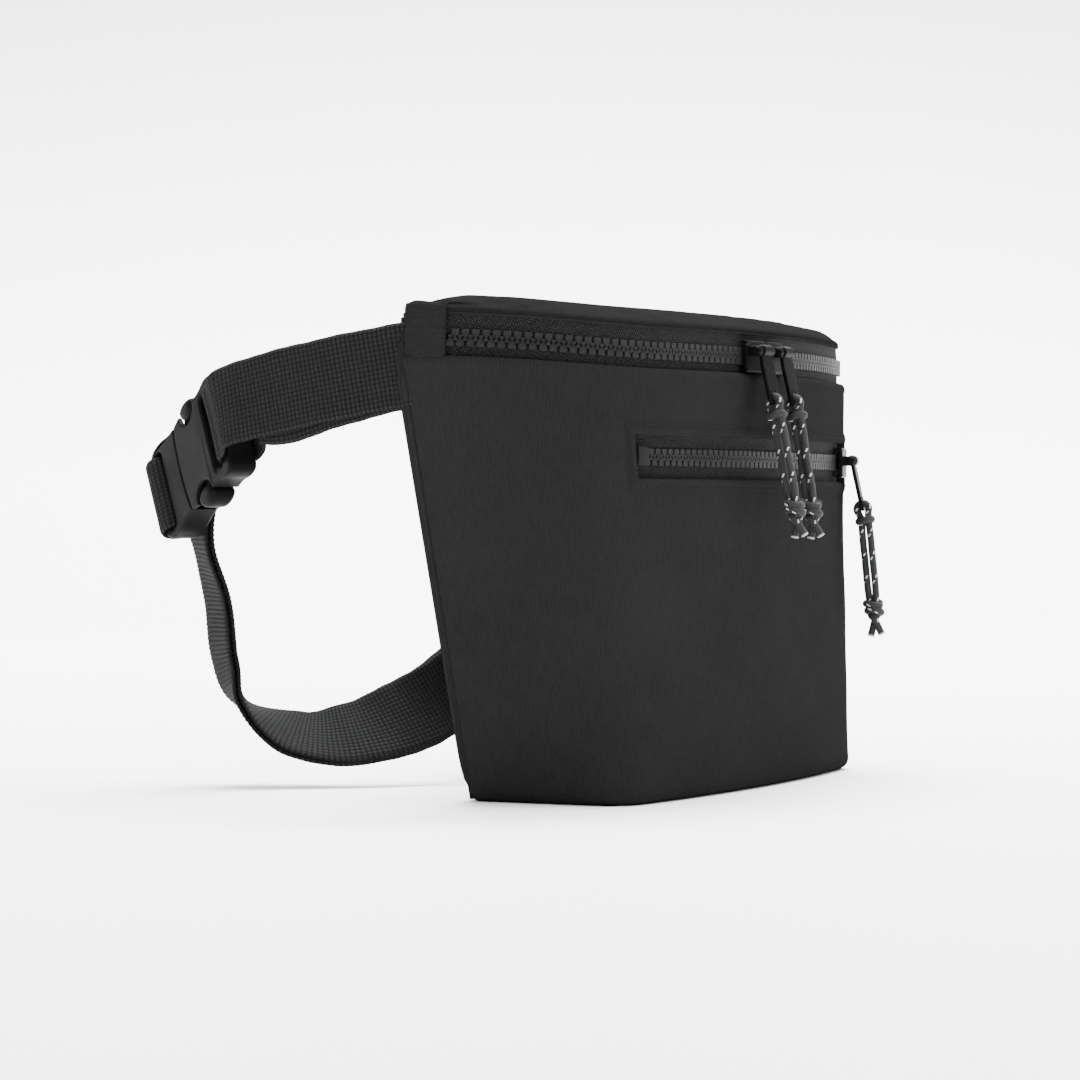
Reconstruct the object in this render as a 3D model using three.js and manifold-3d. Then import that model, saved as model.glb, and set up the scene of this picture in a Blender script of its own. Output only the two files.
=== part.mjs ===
// A small zipped hip bag on a webbing waist belt with a side-release buckle.
// Millimetres, +Z up, +X to the wearer's side, -Y the front of the bag.
// The origin is the middle of the flat bottom.
import * as THREE from 'three';
import { mergeVertices } from 'three/addons/utils/BufferGeometryUtils.js';
import Module from 'manifold-3d';

const wasm = await Module();
wasm.setup();

// ---------- driving dimensions ----------
const BACK_SHIFT = 35;          // from the front of the zip line to the origin, along Y
const GAP = 0.3;                // clearance between touching pieces
const RAD = Math.PI / 180;

// Plan of the bag at the zip line: arcs from the front centre to a rear corner.
const FRONT_RADIUS = 285;
const FRONT_TURN = 15;
const ZIP_PLAN = [
  { radius: FRONT_RADIUS, turn: FRONT_TURN },
  { radius: 66, turn: 35 },
  { radius: 57, turn: 45 },
];
// Plan of the bag at its bottom: flatter front, tight corner, straight side.
const BASE_PLAN = [
  { radius: 640, turn: 7.45 },
  { radius: 12, turn: 82.55 },
  { length: 39.8 },
];
const BASE_FRONT = 6;           // the bottom's front lies this far behind the zip's front
const SEAM_Z = 130.5;           // top edge of the body panel at the front
const REAR_RISE = 0.026;        // everything stands this share taller at the rear corners

const SKIN_OUT = 1.5;           // outer face of the fabric, outward of the zip line
const SKIN = 2.2;               // fabric with its foam and lining
const BOTTOM_ROUND = 4;

// Main zip, heights at the front.
const ZIP_Z = 136.3;
const RAIL_HEIGHT = 2;
const RAIL_GAP = 1.2;
const RAIL_OUT = -0.05;
const RAIL_IN = -2.65;
const TAPE_OUT = -1.0;
const TAPE_IN = -1.7;
const TAPE_BOTTOM = 128;
const TAPE_TOP = 144.2;
const ZIP_HALF = 148.8;         // zip length each side of the front centre
const TOP_SEAM_Z = 144.5;
const DOME = 2.6;               // crown of the top panel above its rim

// Back panel and the hinge line of the top.
const BACK_TOP_Z = 146.8;
const HINGE_Y = 75.3;
const HINGE_Z = 147.3;

// Front pocket.
const POCKET_Z = 104.3;
const WINDOW_HALF = 87;
const WINDOW_HEIGHT = 13;
const WELT_HALF = 90.5;
const WELT_HEIGHT = 19.6;
const POUCH_BOTTOM = 40;
const POUCH_DEPTH = 10;

// Sliders and pulls.
const SLIDER_MEET = -18.3;      // the two main sliders meet this far along the zip
const POCKET_SLIDER_X = 74;
const SLIDER_LENGTH = 13.4;
const SLIDER_HEIGHT = 11;
const TAB_LENGTH = 17.3;
const TAB_LEAN = 12;            // the tabs and cords hang this far off the vertical
const BAR_OUT = 5.1;            // the tab's bar, outward of the zip line
const CORD = 2.1;
const RING_RADIUS = 2.1;
const STRAND_LENGTH = 30.5;

// Webbing and buckle.
const WEBBING = 25;
const WEBBING_THICK = 1.5;

const fabric = new THREE.MeshStandardMaterial({ color: 0x303030, roughness: 0.9, metalness: 0 });
const topFabric = new THREE.MeshStandardMaterial({ color: 0x383838, roughness: 0.85, metalness: 0 });
const tapeCloth = new THREE.MeshStandardMaterial({ color: 0x34383c, roughness: 0.95, metalness: 0 });
const toothPlastic = new THREE.MeshStandardMaterial({ color: 0x3a3c3e, roughness: 0.45, metalness: 0 });
const pullMetal = new THREE.MeshStandardMaterial({ color: 0x2a2b2c, roughness: 0.5, metalness: 0.2 });
const cordCloth = new THREE.MeshStandardMaterial({ color: 0x2c2d2f, roughness: 0.85, metalness: 0 });
const webCloth = new THREE.MeshStandardMaterial({ color: 0x282c2c, roughness: 0.9, metalness: 0 });
const bucklePlastic = new THREE.MeshStandardMaterial({ color: 0x1c1c1c, roughness: 0.4, metalness: 0 });

const bag = new THREE.Group();

function addMesh(name, geometry, material, parent = bag) {
  const mesh = new THREE.Mesh(geometry, material.clone());
  mesh.name = name;
  parent.add(mesh);
  return mesh;
}

// ---------- solids ----------
function toManifold(geometry) {
  const bare = geometry.clone();
  bare.deleteAttribute('normal');
  bare.deleteAttribute('uv');
  const merged = mergeVertices(bare, 1e-4);
  return new wasm.Manifold(new wasm.Mesh({
    numProp: 3,
    vertProperties: new Float32Array(merged.attributes.position.array),
    triVerts: new Uint32Array(merged.index.array),
  }));
}

function toGeometry(solid) {
  const mesh = solid.getMesh();
  const geometry = new THREE.BufferGeometry();
  geometry.setAttribute('position', new THREE.BufferAttribute(new Float32Array(mesh.vertProperties), 3));
  geometry.setIndex(new THREE.BufferAttribute(new Uint32Array(mesh.triVerts), 1));
  geometry.computeVertexNormals();
  return geometry;
}

function union(geometries) {
  return toGeometry(geometries.map(toManifold).reduce((a, b) => a.add(b)));
}

function cut(geometry, ...tools) {
  return toGeometry(tools.map(toManifold).reduce((a, b) => a.subtract(b), toManifold(geometry)));
}

// A closed solid between two grids of points: outer(i, j) and inner(i, j).
function slab(columns, rows, outer, inner) {
  const points = [];
  const index = [];
  for (const face of [outer, inner]) {
    for (let i = 0; i <= columns; i++) {
      for (let j = 0; j <= rows; j++) points.push(...face(i, j));
    }
  }
  const layer = (columns + 1) * (rows + 1);
  const at = (i, j, side) => side * layer + i * (rows + 1) + j;
  const quad = (a, b, c, d) => index.push(a, b, c, a, c, d);
  for (let i = 0; i < columns; i++) {
    for (let j = 0; j < rows; j++) {
      quad(at(i, j, 0), at(i + 1, j, 0), at(i + 1, j + 1, 0), at(i, j + 1, 0));
      quad(at(i, j, 1), at(i, j + 1, 1), at(i + 1, j + 1, 1), at(i + 1, j, 1));
    }
    quad(at(i, 0, 1), at(i + 1, 0, 1), at(i + 1, 0, 0), at(i, 0, 0));
    quad(at(i, rows, 0), at(i + 1, rows, 0), at(i + 1, rows, 1), at(i, rows, 1));
  }
  for (let j = 0; j < rows; j++) {
    quad(at(0, j, 1), at(0, j, 0), at(0, j + 1, 0), at(0, j + 1, 1));
    quad(at(columns, j, 0), at(columns, j, 1), at(columns, j + 1, 1), at(columns, j + 1, 0));
  }
  const geometry = new THREE.BufferGeometry();
  geometry.setAttribute('position', new THREE.BufferAttribute(new Float32Array(points), 3));
  geometry.setIndex(index);
  geometry.computeVertexNormals();
  return geometry;
}

function box(x0, x1, y0, y1, z0, z1) {
  const geometry = new THREE.BoxGeometry(x1 - x0, y1 - y0, z1 - z0);
  return geometry.translate((x0 + x1) / 2, (y0 + y1) / 2, (z0 + z1) / 2);
}

// ---------- plan curves ----------
function planLength(plan) {
  return plan.reduce((sum, piece) => sum + (piece.length ?? piece.radius * piece.turn * RAD), 0);
}

// The point, at a distance from the front centre along the right half of a plan.
function planPoint(plan, distance) {
  let x = 0;
  let y = 0;
  let heading = 0;
  let left = Math.abs(distance);
  for (const piece of plan) {
    const full = piece.length ?? piece.radius * piece.turn * RAD;
    const run = Math.min(left, full);
    if (piece.length) {
      x += run * Math.cos(heading);
      y += run * Math.sin(heading);
    } else {
      const turned = heading + run / piece.radius;
      x += piece.radius * (Math.sin(turned) - Math.sin(heading));
      y += piece.radius * (Math.cos(heading) - Math.cos(turned));
      heading = turned;
    }
    left -= run;
    if (left <= 0) break;
  }
  return [Math.sign(distance) * x, y];
}

const ZIP_LENGTH = planLength(ZIP_PLAN);
const BASE_LENGTH = planLength(BASE_PLAN);

function planAt(u, z) {
  const share = Math.min(1, z / SEAM_Z);
  const [tx, ty] = planPoint(ZIP_PLAN, u * ZIP_LENGTH);
  const [bx, by] = planPoint(BASE_PLAN, u * BASE_LENGTH);
  return [bx + (tx - bx) * share, (by + BASE_FRONT) + (ty - by - BASE_FRONT) * share];
}

// A point of the bag's skin: u runs from the left rear corner (-1) to the right (1).
function skin(u, z, out) {
  const step = 0.002;
  const [x, y] = planAt(u, z);
  const [x0, y0] = planAt(u - step, z);
  const [x1, y1] = planAt(u + step, z);
  const length = Math.hypot(x1 - x0, y1 - y0);
  const away = THREE.MathUtils.smoothstep(Math.abs(u), 0.47, 1);
  return [
    x + (y1 - y0) / length * out,
    y - (x1 - x0) / length * out - BACK_SHIFT,
    z * (1 + REAR_RISE * away),
  ];
}

// A curved plate on the skin, between two places, two heights and two depths.
function skinPlate(u0, u1, z0, z1, inner, outer, columns, rows = 1) {
  const face = (out) => (i, j) => skin(u0 + (u1 - u0) * i / columns, z0 + (z1 - z0) * j / rows, out);
  return slab(columns, rows, face(outer), face(inner));
}

const zipU = (distance) => distance / ZIP_LENGTH;
// The pocket's places are given by X on the front, where the skin is nearly an arc.
const pocketU = (x) => x / (0.8 * ZIP_LENGTH + 0.2 * BASE_LENGTH);

// ---------- bag body ----------
const BODY_LEVELS = [0, 0.5, 1.6, BOTTOM_ROUND, 34, 66, 98, SEAM_Z];
const BODY_COLUMNS = 56;

function bottomTuck(z) {
  if (z >= BOTTOM_ROUND) return 0;
  return BOTTOM_ROUND - Math.sqrt(BOTTOM_ROUND ** 2 - (BOTTOM_ROUND - z) ** 2);
}

function bodyPanel() {
  const face = (depth) => (i, j) => {
    const z = BODY_LEVELS[j];
    return skin(-1 + 2 * i / BODY_COLUMNS, z, SKIN_OUT - bottomTuck(z) - depth);
  };
  const shell = slab(BODY_COLUMNS, BODY_LEVELS.length - 1, face(0), face(SKIN));
  const half = pocketU(WINDOW_HALF);
  const low = POCKET_Z - WINDOW_HEIGHT / 2;
  const window = skinPlate(-half, half, low, low + WINDOW_HEIGHT, -6, 6, 24);
  return cut(shell, window);
}

function basePanel() {
  const inset = SKIN_OUT - BOTTOM_ROUND - SKIN - GAP;
  const shape = new THREE.Shape();
  const steps = 40;
  for (let i = 0; i <= steps; i++) {
    const [x, y] = skin(-0.985 + 1.97 * i / steps, 0, inset);
    if (i === 0) shape.moveTo(x, y);
    else shape.lineTo(x, y);
  }
  return new THREE.ExtrudeGeometry(shape, { depth: 2, bevelEnabled: false });
}

function backPanel() {
  const rows = [
    { z: 0, half: 91, y: 63.5 },
    { z: 4, half: 95, y: 63.8 },
    { z: 131, half: 120.2, y: 73 },
    { z: BACK_TOP_Z, half: 117.5, y: 73.1 },
  ];
  const face = (thick) => (i, j) => {
    const row = rows[j];
    return [row.half * (1 - i), row.y + thick - BACK_SHIFT, row.z];
  };
  return slab(2, rows.length - 1, face(2), face(0));
}

function topPanel() {
  const columns = 44;
  const rim = TOP_SEAM_Z;
  // Each row of a face: share of the way to the back, outward of the zip line,
  // height over the rim, and the crown on top of that.
  const outerRows = [
    { back: 0, out: -0.4, up: 0, crown: 0 }, { back: 0, out: -0.4, up: 1, crown: 0 },
    { back: 0, out: -2.4, up: 2.4, crown: 0 }, { back: 0.16, out: -2.4, up: 2.5, crown: 0.6 * DOME },
    { back: 0.5, out: -2.4, up: 2.4, crown: DOME }, { back: 0.84, out: -2.4, up: 2.2, crown: 0.6 * DOME },
    { back: 1, out: -2.4, up: 2, crown: 0 },
  ];
  const innerRows = [
    { back: 0, out: -2.2, up: 0, crown: 0 }, { back: 0, out: -2.2, up: 0.3, crown: 0 },
    { back: 0, out: -3.4, up: 0.6, crown: 0 }, { back: 0.16, out: -3.4, up: 0.7, crown: 0.6 * DOME },
    { back: 0.5, out: -3.4, up: 0.6, crown: DOME }, { back: 0.84, out: -3.4, up: 0.4, crown: 0.6 * DOME },
    { back: 1, out: -3.4, up: 0, crown: 0 },
  ];
  const face = (rows) => (i, j) => {
    const u = -1 + 2 * i / columns;
    const row = rows[j];
    const [x, y, z] = skin(u, rim, row.out);
    const backX = 115 * u;
    const backY = HINGE_Y - BACK_SHIFT;
    // The back edge is level, and the sides come down to it.
    const level = (HINGE_Z + 0.3 - rim) * row.back + (z - rim) * (1 - row.back);
    // The crown dies away where the rows get short, at the rear corners.
    const crown = row.crown * (1 - u ** 6);
    return [x + (backX - x) * row.back, y + (backY - y) * row.back, rim + level + row.up + crown];
  };
  return slab(columns, outerRows.length - 1, face(outerRows), face(innerRows));
}

function zipRail(side, from, to, columns, middle, out, inward) {
  const near = middle + side * RAIL_GAP / 2;
  const far = near + side * RAIL_HEIGHT;
  return skinPlate(from, to, Math.min(near, far), Math.max(near, far), inward, out, columns);
}

function addBody() {
  addMesh('body_panel', bodyPanel(), fabric);
  addMesh('base_panel', basePanel(), fabric);
  addMesh('back_panel', backPanel(), fabric);
  addMesh('top_panel', topPanel(), topFabric);
}

function addMainZip() {
  const end = zipU(ZIP_HALF);
  const lowEdge = ZIP_Z - RAIL_GAP / 2 - RAIL_HEIGHT - GAP;
  const highEdge = ZIP_Z + RAIL_GAP / 2 + RAIL_HEIGHT + GAP;
  addMesh('main_tape_lower', skinPlate(-end, end, TAPE_BOTTOM, lowEdge, TAPE_IN, TAPE_OUT, 44), tapeCloth);
  addMesh('main_tape_upper', skinPlate(-end, end, highEdge, TAPE_TOP, TAPE_IN, TAPE_OUT, 44), tapeCloth);
  addMesh('main_teeth_lower', zipRail(-1, -end, end, 44, ZIP_Z, RAIL_OUT, RAIL_IN), toothPlastic);
  addMesh('main_teeth_upper', zipRail(1, -end, end, 44, ZIP_Z, RAIL_OUT, RAIL_IN), toothPlastic);
  for (const [name, side] of [['left', -1], ['right', 1]]) {
    const edges = [side * zipU(ZIP_HALF + GAP), side * 0.999].sort((a, b) => a - b);
    addMesh(`${name}_end_tab_lower`, skinPlate(...edges, 131, 138.8, TAPE_IN, 1.2, 4), fabric);
    addMesh(`${name}_end_tab_upper`, skinPlate(...edges, 139.2, 143, TAPE_IN, 1.2, 4), fabric);
  }
}

// ---------- front pocket ----------
function pocketPouch() {
  const half = pocketU(84);
  const near = -2.6;
  const far = near - POUCH_DEPTH - 0.8;
  const top = 114.5;
  const outer = skinPlate(-half, half, POUCH_BOTTOM, top, far, near, 20);
  const inside = skinPlate(-half + 0.006, half - 0.006, POUCH_BOTTOM + 1, top + 5, far + 0.8, near - 0.8, 20);
  const mouth = skinPlate(-half - 0.01, half + 0.01, 94.5, top + 5, near - 1.5, near + 2, 20);
  return cut(outer, inside, mouth);
}

function addPocket() {
  const welt = pocketU(WELT_HALF);
  const half = pocketU(WINDOW_HALF);
  const low = POCKET_Z - WELT_HEIGHT / 2;
  const plate = skinPlate(-welt, welt, low, low + WELT_HEIGHT, SKIN_OUT + GAP, SKIN_OUT + 0.8, 22);
  const open = POCKET_Z - WINDOW_HEIGHT / 2;
  const hole = skinPlate(-half, half, open, open + WINDOW_HEIGHT, -6, 6, 22);
  addMesh('pocket_welt', cut(plate, hole), fabric);

  const tapeHalf = pocketU(89);
  const railHalf = pocketU(82.3);
  const reach = RAIL_GAP / 2 + RAIL_HEIGHT + GAP;
  addMesh('pocket_tape_lower',
    skinPlate(-tapeHalf, tapeHalf, low, POCKET_Z - reach, TAPE_IN, TAPE_OUT, 22), tapeCloth);
  addMesh('pocket_tape_upper',
    skinPlate(-tapeHalf, tapeHalf, POCKET_Z + reach, low + WELT_HEIGHT, TAPE_IN, TAPE_OUT, 22), tapeCloth);
  addMesh('pocket_teeth_lower', zipRail(-1, -railHalf, railHalf, 22, POCKET_Z, 0.3, -2.3), toothPlastic);
  addMesh('pocket_teeth_upper', zipRail(1, -railHalf, railHalf, 22, POCKET_Z, 0.3, -2.3), toothPlastic);
  for (const [name, side] of [['left', -1], ['right', 1]]) {
    const edges = [side * pocketU(82.6), side * pocketU(86.8)].sort((a, b) => a - b);
    addMesh(`pocket_stop_${name}`, skinPlate(...edges, POCKET_Z - 2.6, POCKET_Z + 2.6, -2.3, 0.5, 2), toothPlastic);
  }
  addMesh('pocket_bag', pocketPouch(), tapeCloth);
}

// ---------- sliders, tabs and pull cords ----------
// Local axes of a pull: X along the zip, -Y outward, Z up, origin on the zip line.
function sliderBody(front, barOut, barZ) {
  const half = SLIDER_LENGTH / 2;
  const tall = SLIDER_HEIGHT / 2;
  const back = -RAIL_IN + 0.7;
  const plate = 1.3;
  const leg = 1.1;
  const bar = new THREE.CylinderGeometry(0.6, 0.6, 9.4, 10).rotateZ(Math.PI / 2);
  bar.translate(0, -barOut, barZ);
  const legs = [-1, 1].map((side) => box(
    side * 4.1 - leg / 2, side * 4.1 + leg / 2, -barOut - 1, -front - 0.4, barZ - 1.3, barZ + 1.3,
  ));
  return union([
    box(-half, half, -front - plate, -front, -tall, tall),
    box(-half, half, back, back + 1.1, -tall, tall),
    box(-1.3, 1.3, -front - 0.5, back + 0.5, -RAIL_GAP / 2 + 0.25, RAIL_GAP / 2 - 0.25),
    bar,
    ...legs,
  ]);
}

// The tab hangs from the bar along -Z; its eye is a barrel round the bar.
function pullTab() {
  const plate = new THREE.Shape();
  plate.moveTo(-3.4, -1.2);
  plate.lineTo(3.4, -1.2);
  plate.lineTo(3.9, -4.5);
  plate.lineTo(3.1, -TAB_LENGTH + 1.2);
  plate.quadraticCurveTo(2.9, -TAB_LENGTH, 1.8, -TAB_LENGTH);
  plate.lineTo(-1.8, -TAB_LENGTH);
  plate.quadraticCurveTo(-2.9, -TAB_LENGTH, -3.1, -TAB_LENGTH + 1.2);
  plate.lineTo(-3.9, -4.5);
  const flat = new THREE.ExtrudeGeometry(plate, { depth: 1.3, bevelEnabled: false, curveSegments: 4 });
  flat.translate(0, 0, -0.65).rotateX(Math.PI / 2);
  const barrel = new THREE.CylinderGeometry(1.9, 1.9, 5.6, 16).rotateZ(Math.PI / 2);
  const bore = new THREE.CylinderGeometry(0.95, 0.95, 12, 12).rotateZ(Math.PI / 2);
  const hole = new THREE.CylinderGeometry(1.5, 1.5, 4, 12).translate(0, 0, -TAB_LENGTH + 2.7);
  return cut(union([flat, barrel]), bore, hole);
}

// The cord's own frame starts at the middle of the tab's lower rim.
function pullCord() {
  const ring = new THREE.TorusGeometry(RING_RADIUS, CORD / 2 - 0.05, 8, 16).rotateY(Math.PI / 2);
  const strands = [-1, 1].map((side) => {
    const strand = new THREE.CylinderGeometry(CORD / 2, CORD / 2, STRAND_LENGTH - RING_RADIUS - 0.4, 8);
    strand.rotateX(Math.PI / 2);
    return strand.translate(side * (CORD / 2 - 0.15), 0, -(STRAND_LENGTH + RING_RADIUS + 0.4) / 2);
  });
  return union([ring, ...strands]);
}

function pullKnot() {
  const profile = [[0, 0], [2.4, 0], [3.3, -1.6], [3.0, -3.2], [3.3, -4.8], [2.2, -6.4], [0, -6.4]];
  const knot = new THREE.LatheGeometry(profile.map(([x, y]) => new THREE.Vector2(x, y)).reverse(), 12);
  knot.rotateX(Math.PI / 2);
  const ends = [-1, 1].map((side) => {
    const end = new THREE.CylinderGeometry(CORD / 2, CORD / 2, 8, 8).rotateX(Math.PI / 2);
    return end.translate(0, 0, -9).rotateY(side * 9 * RAD);
  });
  return union([knot, ...ends]).translate(0, 0, -STRAND_LENGTH - GAP);
}

function addPull(name, place, turn, front, barOut, barZ) {
  const slider = new THREE.Group();
  slider.position.set(...place);
  slider.rotation.z = turn;
  bag.add(slider);
  addMesh(`${name}_slider`, sliderBody(front, barOut, barZ), pullMetal, slider);
  const tab = new THREE.Group();
  tab.position.set(0, -barOut, barZ);
  tab.rotation.x = -TAB_LEAN * RAD;
  slider.add(tab);
  addMesh(`${name}_pull_tab`, pullTab(), pullMetal, tab);
  const cord = new THREE.Group();
  cord.position.set(0, 0, -TAB_LENGTH + 0.6);
  tab.add(cord);
  addMesh(`${name}_pull_cord`, pullCord(), cordCloth, cord);
  addMesh(`${name}_pull_knot`, pullKnot(), cordCloth, cord);
}

function addPulls() {
  for (const [name, side] of [['left', -1], ['right', 1]]) {
    const angle = (SLIDER_MEET + side * (SLIDER_LENGTH / 2 + 0.4)) / FRONT_RADIUS;
    const place = [FRONT_RADIUS * Math.sin(angle), FRONT_RADIUS * (1 - Math.cos(angle)) - BACK_SHIFT, ZIP_Z];
    addPull(name, place, angle, 0.8, BAR_OUT, 1.7);
  }
  const [x, y] = skin(pocketU(POCKET_SLIDER_X), POCKET_Z, 0);
  const [x1, y1] = skin(pocketU(POCKET_SLIDER_X + 0.2), POCKET_Z, 0);
  addPull('pocket', [x, y, POCKET_Z], Math.atan2(y1 - y, x1 - x), 1.1, BAR_OUT, 0.7);
}

// ---------- webbing ----------
// A ribbon along a smooth line; each station gives a place and the way the width points.
// It stops after last of the line's whole number of steps.
function ribbon(stations, offset, steps, last = steps) {
  const line = new THREE.CatmullRomCurve3(stations.map((s) => s.place), false, 'centripetal');
  const widths = new THREE.CatmullRomCurve3(stations.map((s) => s.width), false, 'centripetal');
  const frames = [];
  for (let i = 0; i <= last; i++) {
    const t = i / steps;
    const along = line.getTangent(t);
    const width = widths.getPoint(t);
    width.addScaledVector(along, -width.dot(along)).normalize();
    frames.push({ place: line.getPoint(t), width, normal: new THREE.Vector3().crossVectors(along, width) });
  }
  const face = (depth) => (i, j) => {
    const { place, width, normal } = frames[i];
    return place.clone().addScaledVector(width, (j - 0.5) * WEBBING)
      .addScaledVector(normal, offset + depth).toArray();
  };
  return slab(last, 1, face(WEBBING_THICK / 2), face(-WEBBING_THICK / 2));
}

// The buckle's own axes: along its length, across its width, and out of its face.
const BUCKLE_ALONG = new THREE.Vector3(0.505, 0.728, -0.463).normalize();
const BUCKLE_ACROSS = new THREE.Vector3(-0.246, -0.3925, -0.885);
BUCKLE_ACROSS.addScaledVector(BUCKLE_ALONG, -BUCKLE_ACROSS.dot(BUCKLE_ALONG)).normalize();
const BUCKLE_FACE = new THREE.Vector3().crossVectors(BUCKLE_ALONG, BUCKLE_ACROSS);
const BUCKLE_PLACE = new THREE.Vector3(-108.6, 145 - BACK_SHIFT, 113.1);

function onBuckle(along, across, out) {
  return BUCKLE_PLACE.clone().addScaledVector(BUCKLE_ALONG, along)
    .addScaledVector(BUCKLE_ACROSS, across).addScaledVector(BUCKLE_FACE, out);
}

function station(x, y, z, wx, wy, wz) {
  return { place: new THREE.Vector3(x, y - BACK_SHIFT, z), width: new THREE.Vector3(wx, wy, wz) };
}

function buckleStation(along, out) {
  return { place: onBuckle(along, 0, out), width: BUCKLE_ACROSS.clone() };
}

function addLeftStrap() {
  const outerRun = [
    station(-119, 76.2, 132.5, 0, 0, -1),
    station(-121.4, 96, 129.2, 0, -0.05, -1),
    station(-120.8, 118, 125, -0.05, -0.15, -1),
    buckleStation(-13, 4.2),
    buckleStation(-6.5, 2.9),
    buckleStation(-2.8, 2.7),
    buckleStation(-1, 0.8),
    buckleStation(-0.8, -2.8),
  ];
  const innerRun = [
    station(-116.4, 77, 132.2, 0, 0, -1),
    station(-118.6, 96, 128, 0, -0.05, -1),
    station(-116.4, 117, 122.6, -0.05, -0.15, -1),
    buckleStation(-16, -7.2),
    buckleStation(-8, -9.9),
    buckleStation(-3, -9.4),
    buckleStation(-0.4, -7.2),
    buckleStation(0, -3.2),
  ];
  addMesh('left_webbing_outer', ribbon(outerRun, 0, 30), webCloth);
  addMesh('left_webbing_inner', ribbon(innerRun, 0, 30), webCloth);
}

function addWaistBelt() {
  // Round the male half's bar and away behind it.
  const wrap = [
    buckleStation(38.6, -11), buckleStation(39.9, -8), buckleStation(40, -3), buckleStation(41, 1.6),
    buckleStation(44.4, 3), buckleStation(47.9, 1.4), buckleStation(49, -3), buckleStation(47, -8),
    buckleStation(44.4, -10.6),
  ];
  addMesh('male_webbing_loop', ribbon(wrap, 0, 28), webCloth);
  const run = [
    buckleStation(45.4, -15.3),
    station(-74.6, 168.6, 79.5, -0.6, -0.65, -0.45),
    station(-70.5, 164.9, 59.6, -0.686, -0.72, -0.1),
    station(-69.4, 162.6, 40.5, -0.686, -0.72, -0.1),
    station(-68.2, 157.8, 27.7, -0.708, -0.67, -0.2),
    station(-61.4, 141.4, 17.4, -0.73, -0.463, -0.5),
    station(-52.8, 128.1, 17.6, -0.618, -0.353, -0.7),
    station(-40.4, 116.3, 22.4, -0.469, -0.226, -0.85),
    station(-25.4, 108.2, 29.6, -0.27, -0.13, -0.95),
    station(8, 106, 49, 0, 0, -1),
    station(50, 109, 76, 0, 0, -1),
    station(88, 108, 104, 0, 0, -1),
    station(112, 101, 123, 0, 0, -1),
    station(120, 90, 130.5, 0, 0, -1),
    station(119, 76.3, 132.5, 0, 0, -1),
  ];
  const layer = WEBBING_THICK / 2 + GAP / 2;
  addMesh('waist_webbing_outer', ribbon(run, layer, 64), webCloth);
  addMesh('waist_webbing_inner', ribbon(run, -layer, 64, 46), webCloth);
}

// ---------- buckle ----------
function buckleOutline(points) {
  const shape = new THREE.Shape();
  points.forEach(([along, across], i) => (i ? shape.lineTo(along, across) : shape.moveTo(along, across)));
  return shape;
}

function mirrored(half) {
  return [...half, ...half.slice().reverse().map(([along, across]) => [along, -across])];
}

function plateBetween(shape, low, high) {
  const geometry = new THREE.ExtrudeGeometry(shape, { depth: high - low, bevelEnabled: false });
  return geometry.translate(0, 0, low);
}

const BUCKLE_TOP = 1.5;
const BUCKLE_UNDER = -8;
const MOUTH = 26;

function femaleBuckle() {
  const outline = buckleOutline(mirrored([
    [-6.5, 15], [-4, 17.2], [1, 17], [5, 15.6], [20, 16.4], [MOUTH, 14.6],
  ]));
  const slot = box(-2.4, 4.2, -13.3, 13.3, -12, 6);
  const cavity = box(7, 40, -20, 20, BUCKLE_UNDER + 1.7, BUCKLE_TOP - 1.7);
  return cut(plateBetween(outline, BUCKLE_UNDER, BUCKLE_TOP), slot, cavity);
}

function maleBuckle() {
  const outline = buckleOutline(mirrored([
    [MOUTH + GAP, 14.4], [34, 15.4], [44, 15], [46.6, 13.6],
  ]));
  const slot = box(37.6, 42.2, -13.3, 13.3, -12, 6);
  const guide = box(12, MOUTH + 2, -2.2, 2.2, -5.6, -0.9);
  return cut(union([plateBetween(outline, -6.8, 0.6), guide]), slot);
}

// One springing arm with its thumb pad; side is +1 or -1 across the buckle.
function prong(side) {
  const shape = new THREE.Shape();
  shape.moveTo(MOUTH - 0.2, side * 8.2);
  shape.lineTo(MOUTH - 0.2, side * 11.8);
  shape.lineTo(21, side * 13.4);
  shape.quadraticCurveTo(19.6, side * 18.4, 15, side * 18.2);
  shape.quadraticCurveTo(10.6, side * 18, 10.2, side * 13.4);
  shape.lineTo(9, side * 11.5);
  shape.lineTo(11.4, side * 9.6);
  shape.lineTo(17, side * 10);
  return plateBetween(shape, -5.9, -0.6);
}

function addBuckle() {
  const frame = new THREE.Group();
  frame.matrixAutoUpdate = false;
  frame.matrix.makeBasis(BUCKLE_ALONG, BUCKLE_ACROSS, BUCKLE_FACE);
  frame.matrix.setPosition(BUCKLE_PLACE);
  bag.add(frame);
  addMesh('female_buckle', femaleBuckle(), bucklePlastic, frame);
  addMesh('male_buckle', maleBuckle(), bucklePlastic, frame);
  addMesh('prong_lower', prong(1), bucklePlastic, frame);
  addMesh('prong_upper', prong(-1), bucklePlastic, frame);
}

addBody();
addMainZip();
addPocket();
addPulls();
addLeftStrap();
addWaistBelt();
addBuckle();

export default bag;
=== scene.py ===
"""Looks of a small zipped hip bag with a webbing belt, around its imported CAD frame.

Local work is in millimetres; every mesh is scaled to metres when it is made.
"""
import math

import bpy
import bmesh
from mathutils import Matrix, Vector, noise


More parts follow.
